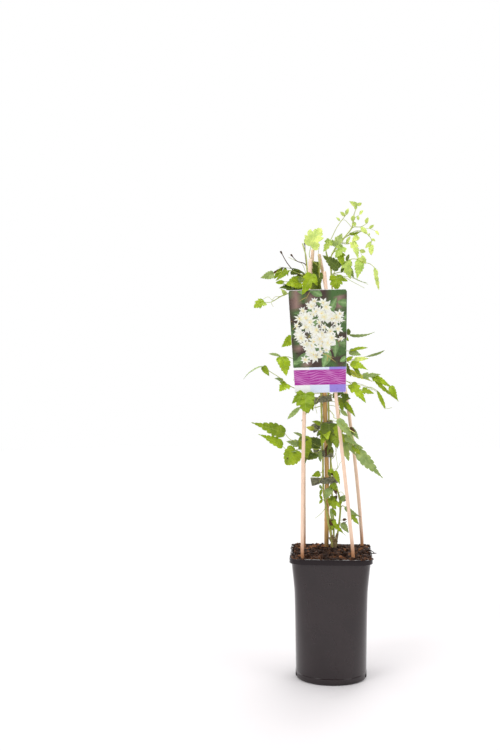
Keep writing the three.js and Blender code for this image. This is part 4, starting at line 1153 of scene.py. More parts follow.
CARD_WHITE = (0.93, 0.93, 0.93)
BARE_ROWS = 40
PRINT_SHEET = 0.03
PRINT_STEP = 0.012
PICTURE_LOW = 43.2  # heights over the card's foot
BAND_LOW = 13.4
BAND_HIGH = 39
STRIPES = 7
STRIPE_STEPS = 60
FIELD_BREAK = 0.68  # where the pale field meets the lilac one, as a share of the width
PICTURE_SEED = 5
PICTURE_LEAVES = 46
CLUSTERS = 9
CLUSTER_BLOSSOMS = 9
PETALS = 7
STAMENS = 12


def card_lean():
    """Where the card's back edge stands and how far it leans back, from the two canes behind it."""
    behind = [Route(CANES["cane_front_left"]), Route(CANES["cane_front_right"])]
    low, high = [
        min(route.at_height(height).y for route in behind) - THIN_CANE_RADIUS - CARD_GAP
        for height in (CARD_LOW, CARD_LOW + CARD_TALL)
    ]
    return low, atan2(high - low, CARD_TALL)


class Card(Form):
    """The card's form. A place on it is told in millimetres across and up from the middle of its
    foot, and in depth to the front."""

    def __init__(self):
        super().__init__()
        self.back, self.lean = card_lean()

    def placed(self, across, high, depth):
        turn = radians(CARD_TURN)
        x = across * cos(turn) - high * sin(turn) + CARD_MIDDLE
        up = across * sin(turn) + high * cos(turn)
        y = self.back + up * sin(self.lean) - depth * cos(self.lean)
        return Vector((x, y, CARD_LOW + up * cos(self.lean) + depth * sin(self.lean)))

    def add_sheet(self, rows, tints, depth, thick=PRINT_SHEET):
        """A thin closed sheet from rows of places with equal counts. Tints are one, or one each."""
        flat = [place for row in rows for place in row]
        points = [self.placed(*place, level) for level in (depth + thick, depth) for place in flat]
        tints = tints + tints if isinstance(tints, list) else tints
        self.add(points, sheet_faces(len(rows), len(rows[0])), tints=tints)


def card_sides(up):
    """The card's left and right edges at a height over its foot."""
    half = mix(CARD_LOW_HALF, CARD_HIGH_HALF, up / CARD_TALL)
    over = up - (CARD_TALL - CARD_CORNER)
    if over > 0:
        half -= CARD_CORNER - sqrt(max(CARD_CORNER**2 - over**2, 0))
    return -half, half


def card_rows(heights, left, right, inset, columns):
    """Rows of places at some heights, from one share of the card's width to another."""
    rows = []
    for height in sorted(set(heights)):
        edge_left, edge_right = card_sides(height)
        start = mix(edge_left + inset, edge_right - inset, left)
        end = mix(edge_left + inset, edge_right - inset, right)
        rows.append([(mix(start, end, place / columns), height) for place in range(columns + 1)])
    return rows


def add_bare_card(card):
    """The white card under the print."""
    heights = [CARD_TALL * step / BARE_ROWS for step in range(BARE_ROWS)]
    heights += [CARD_TALL - part for part in (5, 4, 3, 2, 1.2, 0.6, 0.2, 0)]
    card.add_sheet(card_rows(heights, 0, 1, 0, 10), CARD_WHITE, 0, CARD_SHEET)


def add_panel(card, low, high, left, right, colour, depth, inset=0):
    """A printed field between two heights. Its colour is one, or is asked for at each place."""
    steps = max(2, int((high - low) / 4))
    heights = [mix(low, high, step / steps) for step in range(steps)]
    heights += [high - 6, high - 3, high - 1.5, high - 0.6, high] if high > CARD_TALL - 1 else [high]
    rows = card_rows(heights, left, right, inset, 8)
    tints = [colour(*point) for row in rows for point in row] if callable(colour) else colour
    card.add_sheet(rows, tints, depth)


def petal_rows(middle, angle, long, wide, point=1):
    """A petal's rows from its base to its end, round a blossom's middle. The point draws it out."""
    rows = []
    ahead = Vector((cos(angle), sin(angle)))
    aside = Vector((-ahead.y, ahead.x))
    for step in range(7):
        share = step / 6
        half = wide / 2 * sin(pi * (0.1 + 0.88 * share) ** 0.85) ** point
        row = []
        for out in (-1, 0, 1):
            reach = long * (0.08 + 0.92 * share) - 0.1 * long * share * out * out
            spot = Vector(middle) + ahead * reach + aside * half * out
            row.append((spot.x, spot.y))
        rows.append(row)
    return rows


def add_blossom(card, middle, size, angle, depth, colours, chance):
    """Slim petals with a brush of stamens round a small yellow heart."""
    white, base, heart = colours
    for place in range(PETALS):
        turn = angle + 2 * pi * place / PETALS + chance.uniform(-0.25, 0.25)
        long = size / 2 * chance.uniform(0.75, 1.2)
        rows = petal_rows(middle, turn, long, long * chance.uniform(0.26, 0.42), 1.2)
        shade = chance.uniform(0.86, 1)
        tints = []
        for step, row in enumerate(rows):
            for out in range(len(row)):
                streak = 0.12 * (out % 2)
                tints.append(scaled(blend(base, white, smooth(0, 0.4, step / 6 - streak)), shade))
        card.add_sheet(rows, tints, depth + PRINT_STEP * (place % 3))
    for place in range(STAMENS):
        turn = place * 0.55 + chance.uniform(-0.2, 0.2)
        reach = size * chance.uniform(0.16, 0.34)
        tint = blend(heart, white, chance.uniform(0.3, 0.9))
        rows = petal_rows(middle, turn, reach, 0.5)
        card.add_sheet(rows, tint, depth + PRINT_STEP * 3)
    rows = petal_rows((middle[0] - size * 0.05, middle[1]), 0, size * 0.1, size * 0.09)
    card.add_sheet(rows, heart, depth + PRINT_STEP * 4)


def add_printed_leaf(card, foot, angle, long, wide, colours, depth):
    """A plain pointed leaf of the picture, lighter along its midrib."""
    dark, light = colours
    ahead = Vector((cos(angle), sin(angle)))
    aside = Vector((-ahead.y, ahead.x))
    rows, tints = [], []
    for step in range(11):
        share = step / 10
        half = wide / 2 * sin(pi * share**0.8) * (1 - 0.25 * share) + 0.15
        row = []
        for place in range(5):
            out = place / 2 - 1
            spot = Vector(foot) + ahead * long * share + aside * half * out
            left, right = card_sides(clamp(spot.y, 0, CARD_TALL))
            x = clamp(spot.x, left + 1.2, right - 1.2)
            row.append((x, clamp(spot.y, PICTURE_LOW, CARD_TALL - 1.5)))
            vein = 0.9 if place == 2 else 0.25 + 0.25 * (step % 2)
            tints.append(blend(dark, light, vein))
        rows.append(row)
    card.add_sheet(rows, tints, depth)


def mottled_ground(dark, green):
    """The picture's blurred ground of shade and greenery."""
    def colour(x, up):
        cloud = speckle(x * 0.06, up * 0.05, 2) + 0.5
        bark = smooth(0.55, 0.8, speckle(x * 0.09, up * 0.03, 7) + 0.5)
        shade = blend(dark, scaled(dark, 4.5), bark)
        return blend(shade, green, smooth(0.42, 0.75, cloud))
    return colour


def add_stripe(card, number, colour, depth):
    """One wavy stripe across the band from edge to edge, swelling and thinning."""
    middle = BAND_LOW + 2.4 + number * 3.7
    left, right = card_sides(middle)
    rows = []
    for side in (-1, 1):
        row = []
        for step in range(STRIPE_STEPS + 1):
            x = mix(left + 0.8, right - 0.8, step / STRIPE_STEPS)
            wave = 2.6 * sin(x * 0.11 + number * 0.3) + 0.7 * sin(x * 0.29 - number)
            half = 0.75 + 0.3 * sin(x * 0.19 + number)
            up = clamp(middle + wave + side * half, BAND_LOW + 0.3, BAND_HIGH - 0.3)
            row.append((x, up + 0.001 * side))
        rows.append(row)
    card.add_sheet(rows, colour, depth)


def add_picture_leaves(card, settings, depth, chance):
    """Leaves, with a brown twig at every fourth."""
    greens = (settings.leaf_dark, settings.leaf_light)
    twigs = (scaled(settings.heart, 0.4), scaled(settings.heart, 0.75))
    for number in range(PICTURE_LEAVES):
        foot = (chance.uniform(-48, 48), chance.uniform(PICTURE_LOW + 4, CARD_TALL - 6))
        shade = chance.uniform(0.45, 1.35)
        twig = number % 4 == 3
        pair = twigs if twig else [scaled(green, shade) for green in greens]
        angle = chance.uniform(0, 2 * pi)
        long = chance.uniform(14, 34)
        wide = 0.9 if twig else long * chance.uniform(0.32, 0.55)
        add_printed_leaf(card, foot, angle, long, wide, pair, depth + number * PRINT_STEP * 0.4)


def blossom_clusters(chance):
    """The blossoms' middles and sizes, the small ones first: clusters set out by the golden
    angle round the picture's middle, with the picture's corners left to the leaves."""
    spots = []
    for cluster in range(CLUSTERS):
        angle = cluster * 2.4
        out = 0.94 * sqrt((cluster + 0.3) / CLUSTERS)
        heart = (-3 + 40 * out * cos(angle), 108 + 52 * out * sin(angle))
        for _ in range(CLUSTER_BLOSSOMS):
            x, up = chance.gauss(heart[0], 10), chance.gauss(heart[1], 10)
            size = chance.uniform(13, 28)
            edge = size * 0.6 + 1
            left, right = card_sides(up)
            x = clamp(x, left + edge, right - edge)
            up = clamp(up, PICTURE_LOW + edge, CARD_TALL - edge)
            spots.append(((x, up), size))
    return sorted(spots, key=lambda spot: spot[1])


def add_blossoms(card, settings, depth, chance):
    """Clusters of blossoms, the larger ones in front."""
    colours = (settings.petal, settings.petal_base, settings.heart)
    placed = []
    for middle, size in blossom_clusters(chance):
        near = [
            level for other, wide, level in placed
            if (Vector(other) - Vector(middle)).length < (wide + size) / 2
        ]
        level = max(near, default=-1) + 1
        placed.append((middle, size, level))
        turn = chance.uniform(0, 6.28)
        add_blossom(card, middle, size, turn, depth + level * 2 * PRINT_STEP, colours, chance)


# ---- the ties ----


def tie_path(left, right, tail):
    """The tape's course seen from above: from the tail's end round the stems and back to it."""
    half = TIE_HALF_DEPTH + 0.45
    neck = 0.3
    points = [(-left - tail, -neck), (-left - tail * 0.5, -neck - 0.25), (-left - 0.6, -neck - 0.2)]
    points += [(-left + 1.6, -half * 0.72), (-left + 4.4, -half)]
    points += [(right - TIE_HALF_DEPTH, -half)]
    for step in range(1, 6):
        angle = -pi / 2 + pi * step / 6
        points.append((right - TIE_HALF_DEPTH + half * cos(angle), half * sin(angle)))
    points += [(right - TIE_HALF_DEPTH, half), (-left + 4.4, half), (-left + 1.6, half * 0.72)]
    points += [(-left - 0.6, neck + 0.2), (-left - tail * 0.5, neck + 0.25), (-left - tail, neck)]
    return Route([(x, y, 0) for x, y in points])


def add_tie(form, middle, left, right, tail, slant, droop, colour, seed):
    """A band of thin crinkled tape round the cane and stems, its two ends pinched together."""
    path = tie_path(left, right, tail)
    frames = frames_along([path.at(step / TIE_STEPS) for step in range(TIE_STEPS + 1)])
    turn = Matrix.Rotation(radians(slant), 3, "Y")
    outer, inner, tints = [], [], []
    for step in range(TIE_STEPS + 1):
        share = step / TIE_STEPS
        spot = path.at(share)
        tangent = frames[step][0]
        outward = Vector((tangent.y, -tangent.x, 0))
        in_tail = clamp((-left - spot.x) / tail)
        uneven = 1 + 0.22 * speckle(share * 7, 0, seed + 1)
        band = TIE_BAND * mix(0.98, 1.25, in_tail) * uneven
        pinch = 1 - 0.2 * exp(-(((spot.x + left + 0.4) / 2.8) ** 2))
        sway = 1.5 * speckle(share * 6, 0, seed + 5)
        for place in range(TIE_COLUMNS + 1):
            out = place / TIE_COLUMNS - 0.5
            crease = speckle(share * 9, out * 7.5, seed)
            fold = speckle(share * 30, out * 3, seed + 7)
            ridge = 0.8 * crease + 0.55 * fold
            ragged = 1 + 0.08 * speckle(share * 26, 0, seed + 3)
            height = out * band * pinch * ragged - droop * in_tail + sway
            push = clamp(ridge + 0.3, 0, 1.6) * mix(1, 0.5, in_tail)
            twist = TIE_TWIST * out * in_tail
            base = Vector((spot.x - 1.5 * out * in_tail, spot.y + twist, height))
            outer.append(turn @ (base + outward * (push + TIE_SHEET)) + middle)
            inner.append(turn @ (base + outward * push) + middle)
            # painted light: the tint is lighter on the crinkles' crests and darker in their folds
            tints.append(scaled(colour, 0.5 + 1.5 * clamp(ridge + 0.45)))
    form.add(outer + inner, sheet_faces(TIE_STEPS + 1, TIE_COLUMNS + 1), tints=tints + tints)


# ---- finishes ----


class Graph:
    """A node tree while it is put together."""

    def __init__(self, tree):
        self.tree = tree

    def add(self, kind, inputs=None, **settings):
        """A new node with its settings, and its inputs by name."""
        node = self.tree.nodes.new(kind)
        for name, value in settings.items():
            setattr(node, name, value)
        for name, value in (inputs or {}).items():
            self.feed(node.inputs[name], value)
        return node

    def feed(self, socket, value):
        """Links an output to a socket, or sets the socket's own value."""
        if isinstance(value, bpy.types.NodeSocket):
            self.tree.links.new(value, socket)
        elif isinstance(value, tuple) and len(value) == 3 and socket.type == "RGBA":
            socket.default_value = (*value, 1)
        else:
            socket.default_value = value


class Finish(Graph):
    """A material while its nodes are put together round one Principled shader."""

    def __init__(self, name):
        self.material = bpy.data.materials.new(name)
        self.material.use_nodes = True
        super().__init__(self.material.node_tree)
        self.shader = self.tree.nodes["Principled BSDF"]

    def attribute(self, name, output):
        return self.add("ShaderNodeAttribute", attribute_name=name).outputs[output]

    def tint(self):
        return self.attribute("tint", "Color")

    def position(self, stretch=(1, 1, 1)):
        """The object's own coordinates in metres, stretched."""
        source = self.add("ShaderNodeTexCoord").outputs["Object"]
        return self.add("ShaderNodeMapping", {"Vector": source, "Scale": stretch}).outputs["Vector"]

    def parts(self, vector):
        return self.add("ShaderNodeSeparateXYZ", {"Vector": vector}).outputs

    def noise(self, vector, scale, detail=3, roughness=0.55, distortion=0):
        inputs = {"Vector": vector, "Scale": scale, "Detail": detail, "Roughness": roughness}
        inputs["Distortion"] = distortion
        return self.add("ShaderNodeTexNoise", inputs).outputs["Fac"]

    def cell_edges(self, vector, scale):
        """How far a place is from the border of its cell."""
        node = self.add("ShaderNodeTexVoronoi", feature="DISTANCE_TO_EDGE")
        self.feed(node.inputs["Vector"], vector)
        self.feed(node.inputs["Scale"], scale)
        return node.outputs["Distance"]

    def spread(self, value, low, high, to_low=0, to_high=1):
        """Maps a range onto another and stops at its ends."""
        inputs = {"Value": value, "From Min": low, "From Max": high, "To Min": to_low, "To Max": to_high}
        return self.add("ShaderNodeMapRange", inputs, interpolation_type="SMOOTHSTEP").outputs["Result"]

    def math(self, operation, first, second=0):
        node = self.add("ShaderNodeMath", operation=operation)
        for socket, value in zip(node.inputs, (first, second)):
            self.feed(socket, value)
        return node.outputs["Value"]

    def plus(self, first, second):
        return self.math("ADD", first, second)

    def times(self, first, second):
        return self.math("MULTIPLY", first, second)

    def mix(self, share, low, high, blend="MIX"):
        node = self.add("ShaderNodeMix", data_type="RGBA", blend_type=blend)
        sockets = [socket for socket in node.inputs if socket.enabled]
        for socket, value in zip(sockets, (share, low, high)):
            self.feed(socket, value)
        return [socket for socket in node.outputs if socket.enabled][0]

    def dyed(self, colour, dye):
        """A colour multiplied by another."""
        return self.mix(1, colour, dye, "MULTIPLY")

    def bump(self, height, strength, distance):
        inputs = {"Height": height, "Strength": strength, "Distance": distance}
        self.feed(self.shader.inputs["Normal"], self.add("ShaderNodeBump", inputs).outputs["Normal"])

    def set(self, **values):
        """Sets the shader's own sockets: colour, roughness and so on, linked or plain."""
        for name, value in values.items():
            socket = self.shader.inputs[name.replace("_", " ").title().replace("Ior", "IOR")]
            self.feed(socket, value)
        return self.material


def leaf_finish(foliage):
    """Soft green blade: veins lighter and sunk above, paler and duller below, browned in places."""
    make = Finish("leaf_blade")
    tint = make.tint()
    under = make.attribute("tint", "Alpha")
    mark = make.attribute("mark", "Fac")
    place = make.parts(make.attribute("place", "Vector"))
    here = make.position()
    out = make.math("ABSOLUTE", place["X"])
    rib = make.spread(out, 0.02, 0.11, 1, 0)
    branch = make.math("PINGPONG", make.times(place["Y"], 9), 0.5)
    side_veins = make.times(make.spread(branch, 0, 0.13, 1, 0), make.spread(out, 0.5, 1, 1, 0.35))
    net = make.spread(make.cell_edges(here, 620), 0.02, 0.12, 1, 0)
    veins = make.math("MAXIMUM", rib, make.times(side_veins, 0.75))
    veins = make.math("MAXIMUM", veins, make.times(net, 0.12))
    patches = make.noise(here, 85, 4)
    deep = make.dyed(tint, (0.72, 0.77, 0.62))
    fresh = make.dyed(tint, (1.2, 1.14, 1))
    blade = make.mix(make.spread(patches, 0.3, 0.72), deep, fresh)
    veined = make.mix(make.times(veins, 0.42), blade, make.mix(0.5, blade, foliage.vein_colour))
    sided = make.mix(under, veined, make.mix(0.42, veined, foliage.under_colour))
    edge = make.plus(mark, make.spread(make.noise(here, 260, 4), 0.35, 0.75, -0.25, 0.25))
    colour = make.mix(make.spread(edge, 0.42, 0.66), sided, foliage.dry_colour)
    make.bump(make.math("SUBTRACT", make.noise(here, 900, 2), make.times(veins, 1.4)), 0.35, 0.0003)
    rough = make.plus(make.spread(patches, 0.2, 0.8, 0.36, 0.5), make.times(under, 0.16))
    return make.set(
        base_color=colour, roughness=rough, subsurface_weight=foliage.glow, subsurface_scale=0.0011,
        subsurface_radius=(0.9, 1, 0.35), specular_ior_level=0.24,
    )


def stem_finish():
    """Round green stems with fine ribs along them and a little brown, painted darker as shade in the grooves
    between the ribs.
    """
    make = Finish("green_stem")
    tint = make.tint()
    streaks = make.noise(make.position((1, 1, 0.12)), 900, 3)
    spots = make.noise(make.position(), 330, 4)
    # painted shade: darker where the ribs' bump lies low
    groove_shaded = make.mix(make.spread(streaks, 0.35, 0.7), make.dyed(tint, (0.78, 0.77, 0.68)), tint)
    colour = make.mix(make.spread(spots, 0.62, 0.74, 0, 0.45), groove_shaded, (0.11, 0.055, 0.02))
    make.bump(streaks, 0.4, 0.0003)
    return make.set(
        base_color=colour, roughness=make.spread(spots, 0.3, 0.7, 0.42, 0.62), subsurface_weight=0.08,
        subsurface_scale=0.001,
    )


def pot_finish(base):
    """Thin charcoal plastic with a satin sheen, faint flow marks, rubbed patches and dust."""
    make = Finish("charcoal_plastic")
    here = make.position()
    flow = make.noise(make.position((1, 1, 0.16)), 46, 4, 0.5, 0.4)
    patches = make.noise(here, 17, 4, 0.6)
    grain = make.noise(here, 2200, 2)
    scuffs = make.spread(make.noise(make.position((1, 1, 2.6)), 60, 8, 0.72, 1.2), 0.66, 0.76)
    colour = make.mix(make.spread(patches, 0.3, 0.7), scaled(base, 0.84), scaled(base, 1.14))
    colour = make.mix(make.spread(flow, 0.35, 0.75, 0, 0.35), colour, scaled(base, 1.35))
    colour = make.mix(make.times(scuffs, 0.22), colour, (0.16, 0.14, 0.12))
    make.bump(make.plus(make.times(grain, 0.35), flow), 0.16, 0.0004)
    rough = make.plus(make.spread(patches, 0.25, 0.75, 0.14, 0.22), make.times(scuffs, 0.16))
    lip = make.spread(make.parts(here)["Z"], LIP_FROM, LIP_FROM + MM)
    # painted shade: the lip's colour is darkened
    colour = make.mix(lip, colour, make.dyed(colour, (0.7, 0.7, 0.75)))
    shine = make.spread(lip, 0, 1, 0.5, 0.26)
    return make.set(base_color=colour, roughness=rough, specular_ior_level=shine)


def soil_finish():
    """Dark moist peat with reddish brown crumbs and straw, painted shade in its hollows, and painted
    highlights and less shine on its raised grain.
    """
    make = Finish("moist_peat")
    tint = make.tint()
    here = make.position()
    coarse = make.noise(here, 160, 6, 0.65)
    fine = make.noise(here, 900, 5, 0.7)
    # painted shade: much darker where the coarse bump lies low
    colour = make.mix(make.spread(coarse, 0.38, 0.64), make.dyed(tint, (0.22, 0.2, 0.2)), tint)
    # painted highlight: lighter where the fine bump stands up
    colour = make.mix(make.spread(fine, 0.52, 0.7, 0, 0.7), colour, make.dyed(tint, (2.6, 2.2, 1.9)))
    make.bump(make.plus(coarse, fine), 0.7, 0.0012)
    rough = make.spread(fine, 0.3, 0.7, 0.7, 0.98)
    return make.set(base_color=colour, roughness=rough, specular_ior_level=0.25)


def cane_finish(name, colour, dark, stained, band_scale, spotted):
    """Wood with grain along it, darker flecks, and a stain where it stands in the soil."""
    make = Finish(name)
    here = make.position()
    grain = make.noise(make.position((1, 1, 0.035)), 900, 5, 0.6)
    bands = make.noise(make.position((1, 1, 0.3)), band_scale, 3)
    flecks = make.noise(make.position((1, 1, 0.2)), 520, 3)
    wood = make.mix(make.spread(grain, 0.34, 0.7), dark, colour)
    wood = make.mix(make.spread(bands, 0.35, 0.7, 0, 0.5), wood, scaled(colour, 1.08))
    wood = make.mix(make.spread(flecks, 0.66, 0.76, 0, spotted), wood, scaled(dark, 0.45))
    damp = make.plus(make.parts(here)["Z"], make.times(make.noise(here, 70, 3), 0.016))
    wood = make.mix(make.spread(damp, 0.218, 0.262, 0.9, 0), wood, stained)
    make.bump(grain, 0.3, 0.0004)
    return make.set(base_color=wood, roughness=make.spread(bands, 0.3, 0.7, 0.5, 0.66))


def card_finish():
    """Printed plastic card: the print's colours with a fine dot grain under a clear gloss."""
    make = Finish("printed_card")
    tint = make.tint()
    here = make.position()
    dots = make.noise(here, 1500, 2)
    cloud = make.noise(here, 120, 3)
    dark = make.dyed(tint, (0.92, 0.92, 0.92))
    colour = make.mix(make.spread(dots, 0.35, 0.65), dark, tint)
    colour = make.mix(make.spread(cloud, 0.3, 0.7, 0, 0.25), colour, dark)
    make.bump(cloud, 0.08, 0.001)
    rough = make.spread(cloud, 0.3, 0.7, 0.26, 0.36)
    return make.set(base_color=colour, roughness=rough, coat_weight=0.25, coat_roughness=0.12)


def tape_finish():
    """Thin dark grey tape with light patches, both dust and painted highlights, where its bump stands up."""
    make = Finish("crinkled_tape")
    dust = make.noise(make.position(), 420, 5, 0.65)
    weave = make.noise(make.position((1, 1, 5)), 700, 2)
    # light patches: dust, and painted highlights on the raised bump
    colour = make.mix(make.spread(dust, 0.4, 0.64, 0, 0.75), make.tint(), (0.33, 0.32, 0.2))
    make.bump(make.plus(weave, dust), 0.45, 0.0004)
    return make.set(base_color=colour, roughness=make.spread(dust, 0.3, 0.7, 0.42, 0.7))


# ---- the studio ----

# In metres: name, place, width, and power as a share of the key light's.
LIGHTS = (
    ("key_light", (-1.5, -1.7, 2), 1.6, 1),
    ("fill_light", (1.7, -1.3, 1.5), 1.6, 0.4),
    ("back_light", (0.6, 1.8, 2.1), 1.6, 0.8),
    ("top_light", (0, 0, 2.6), 2, 0.9),
)
LIGHT_AIM = Vector((0, 0, 0.42))
CAMERA_PLACE = (-0.1397, -2, 0.62)  # metres
CAMERA_LENS = 55.68
CAMERA_SENSOR = 36
CAMERA_SHIFT = -0.08
FLOOR_REACH = 3.5  # metres
FLOOR_LEVEL = -0.0005
FLOOR_SIDES = 64


def make_floor(colour):
    """A pale floor that glows white away from the pot, so that it ends in the surround."""
    make = Finish("pale_floor")
    here = make.position()
    far = make.add("ShaderNodeVectorMath", operation="LENGTH")
    make.feed(far.inputs[0], here)
    glow = make.spread(far.outputs["Value"], 0.3, 1.3)
    soft = make.noise(here, 3, 3)
    shade = make.mix(make.spread(soft, 0.3, 0.7), scaled(colour, 0.985), colour)
    make.set(
        base_color=make.mix(glow, shade, (0, 0, 0)), roughness=0.75, specular_ior_level=0.1,
        emission_color=WHITE, emission_strength=glow,
    )
    mesh = bpy.data.meshes.new("studio_floor")
    angles = [2 * pi * step / FLOOR_SIDES for step in range(FLOOR_SIDES)]
    rim = [(FLOOR_REACH * cos(angle), FLOOR_REACH * sin(angle), FLOOR_LEVEL) for angle in angles]
    mesh.from_pydata(rim, [], [tuple(range(FLOOR_SIDES))])
    mesh.materials.append(make.material)
    floor = new_object("studio_floor", mesh)


def make_surround(strength):
    """White where the camera sees it. The light that it gives is dimmer from the front."""
    world = bpy.data.worlds.new("white_surround")
    world.use_nodes = True
    graph = Graph(world.node_tree)
    seen = graph.tree.nodes["Background"]
    graph.feed(seen.inputs["Color"], WHITE)
    ray = graph.add("ShaderNodeLightPath").outputs
    way = graph.add("ShaderNodeTexCoord").outputs["Generated"]
    back = graph.add("ShaderNodeSeparateXYZ", {"Vector": way}).outputs["Y"]

    def dimmed(start, end, low, high):
        ends = {"From Min": start, "From Max": end, "To Min": low * strength, "To Max": high * strength}
        return graph.add("ShaderNodeMapRange", {"Value": back, **ends}).outputs["Result"]

    diffuse, glossy = dimmed(-0.9, 0.1, 0.35, 1), dimmed(0.2, 0.45, 0.3, 2.6)
    pick = graph.add("ShaderNodeMix", {"Factor": ray["Is Glossy Ray"], "A": diffuse, "B": glossy})
    given = graph.add("ShaderNodeBackground", {"Strength": pick.outputs["Result"]})
    choose = graph.add("ShaderNodeMixShader")
    shaders = (ray["Is Camera Ray"], given.outputs["Background"], seen.outputs["Background"])
    for socket, value in zip(choose.inputs, shaders):
        graph.feed(socket, value)
    graph.feed(graph.tree.nodes["World Output"].inputs["Surface"], choose.outputs["Shader"])
    bpy.context.scene.world = world


def add_light(name, place, size, power):
    data = bpy.data.lights.new(name, "AREA")
    data.shape = "DISK"
    data.size = size
    data.energy = power
    light = new_object(name, data)
    light.location = place
    aim = LIGHT_AIM - Vector(place)
    light.rotation_euler = aim.to_track_quat("-Z", "Y").to_euler()


def make_camera():
    data = bpy.data.cameras.new("front_camera")
    data.sensor_fit = "AUTO"
    data.sensor_width = CAMERA_SENSOR
    data.lens = CAMERA_LENS
    data.shift_y = CAMERA_SHIFT
    camera = new_object("front_camera", data)
    camera.location = CAMERA_PLACE
    camera.rotation_euler = (radians(90), 0, 0)
    bpy.context.scene.camera = camera


# ---- what a user may change ----


def colour_choice(name, description, value):
    return FloatVectorProperty(
        name=name, description=description, default=value, subtype="COLOR", size=3, min=0, max=1,
    )


def count_choice(name, description, value, most):
    return IntProperty(name=name, description=description, default=value, min=0, max=most)


class PotSettings(PropertyGroup):
    """The pot's plastic."""

    colour: colour_choice("Plastic", "Colour of the pot's plastic", (0.018, 0.0105, 0.012))


class SoilSettings(PropertyGroup):
    """The potting soil and what lies loose on it."""

    colour: colour_choice("Peat", "Colour of the moist peat", (0.036, 0.0135, 0.006))
    crumb_colour: colour_choice("Crumbs", "Colour of the drier crumbs", (0.25, 0.103, 0.038))
    crumbs: count_choice("Crumbs", "Loose crumbs on the surface", 1500, 4000)
    fibres: count_choice("Fibres", "Roots and straws on the surface", 260, 600)


class CaneSettings(PropertyGroup):
    """The wood of the canes."""

    thin_colour: colour_choice("Thin canes", "Colour of the peeled thin canes", (0.94, 0.67, 0.51))
    thin_stain: colour_choice("Stain", "Colour of the thin canes in the soil", (0.5, 0.2, 0.065))
    bamboo_colour: colour_choice("Bamboo", "Colour of the centre cane", (0.76, 0.44, 0.16))


class CardSettings(PropertyGroup):
    """The print of the picture card."""

    ground: colour_choice("Ground", "Dark ground of the picture", (0.07, 0.045, 0.038))
    leaf_dark: colour_choice("Leaf", "Darker colour of the picture's leaves", (0.075, 0.155, 0.045))
    leaf_light: colour_choice("Leaf vein", "Lighter colour of the picture's leaves", (0.27, 0.42, 0.17))
    petal: colour_choice("Petal", "Colour of the petals", (0.95, 0.95, 0.88))
    petal_base: colour_choice("Petal base", "Colour at the petals' base", (0.86, 0.86, 0.56))
    heart: colour_choice("Heart", "Colour of the blossoms' hearts", (0.9, 0.66, 0.2))
    band: colour_choice("Band", "Colour of the wide band", (0.42, 0.04, 0.33))
    band_stripe: colour_choice("Band stripe", "Colour of the band's wavy stripes", (0.6, 0.2, 0.53))
    pale: colour_choice("Pale field", "Colour of the pale field", (0.74, 0.8, 0.96))
    lilac: colour_choice("Lilac field", "Colour of the lilac field", (0.33, 0.25, 0.72))


class TieSettings(PropertyGroup):
    """The tape of the ties."""

    colour: colour_choice("Tape", "Colour of the tape", (0.115, 0.115, 0.07))


class FoliageSettings(PropertyGroup):
    """The colours of leaves and stems."""

    # Bright is leaf green with painted light on it; dark is painted shade on the green of old leaves.
    bright: colour_choice("Bright leaf", "Sunlit full-grown leaf", (0.31, 0.44, 0.008))
    mid: colour_choice("Mid leaf", "Full-grown leaf", (0.225, 0.33, 0.01))
    dark: colour_choice("Dark leaf", "Old leaf in the shade", (0.088, 0.142, 0.018))
    grey: colour_choice("Grey leaf", "Leaf seen at its duller side", (0.28, 0.38, 0.155))
    sage: colour_choice("Sage leaf", "Young leaf seen at its duller side", (0.34, 0.45, 0.17))
    fresh: colour_choice("Fresh leaf", "Half-grown leaf", (0.48, 0.64, 0.15))
    lime: colour_choice("Lime leaf", "Young leaf", (0.6, 0.73, 0.23))
    yellow: colour_choice("Yellow leaf", "Yellowed leaf", (0.58, 0.6, 0.09))
    brown: colour_choice("Brown leaf", "Dried leaf", (0.075, 0.038, 0.02))
    vein_colour: colour_choice("Veins", "Colour that the veins lean to", (0.56, 0.64, 0.16))
    under_colour: colour_choice("Underside", "Colour that the underside leans to", (0.34, 0.43, 0.14))
    dry_colour: colour_choice("Browning", "Colour of browned edges", (0.1, 0.045, 0.018))
    stem_young: colour_choice("Young stem", "Green of the stems", (0.56, 0.6, 0.15))
    stem_old: colour_choice("Woody stem", "Brown of the stem's foot", (0.26, 0.165, 0.085))
    glow: FloatProperty(
        name="Glow", description="How much light passes into the leaves", default=0.16, min=0, max=1,
        subtype="FACTOR",
    )


class StudioSettings(PropertyGroup):
    """The plain white studio."""

    floor_colour: colour_choice("Floor", "Colour of the floor", (0.74, 0.715, 0.725))
    daylight: FloatProperty(
        name="Surround", description="Strength of the white surround", default=1, min=0,
    )
    key_power: FloatProperty(
        name="Key light", description="Power of the large soft light", default=30, min=0, unit="POWER",
    )


def settings_of(context, name):
    """The chosen values of one group, colours as plain tuples."""
    group = getattr(context.scene, "clematis_" + name)
    chosen = {each: getattr(group, each) for each in SETTINGS[name].__annotations__}
    for each, value in chosen.items():
        chosen[each] = value if isinstance(value, (int, float)) else tuple(value)
    return SimpleNamespace(**chosen)


# ---- operators ----


class MakePot(Operator):
    """Makes the nursery pot with its lip and drain slots."""

    bl_idname = "clematis.make_pot"
    bl_label = "Pot"

    def execute(self, context):
        form = Form()
        add_rings(form, pot_profile())
        form.turn(POT_TURN)
        finish = pot_finish(settings_of(context, "pot").colour)
        pot = form.piece("pot_shell", [finish], "pot_plastic", ["pot"], 30)
        cutter = slot_cutter()
        cut = pot.modifiers.new("drain slots", "BOOLEAN")
        cut.operation = "DIFFERENCE"
        cut.solver = "EXACT"
        cut.object = cutter
        apply_modifiers(pot)
        bpy.data.objects.remove(cutter)
        return {"FINISHED"}


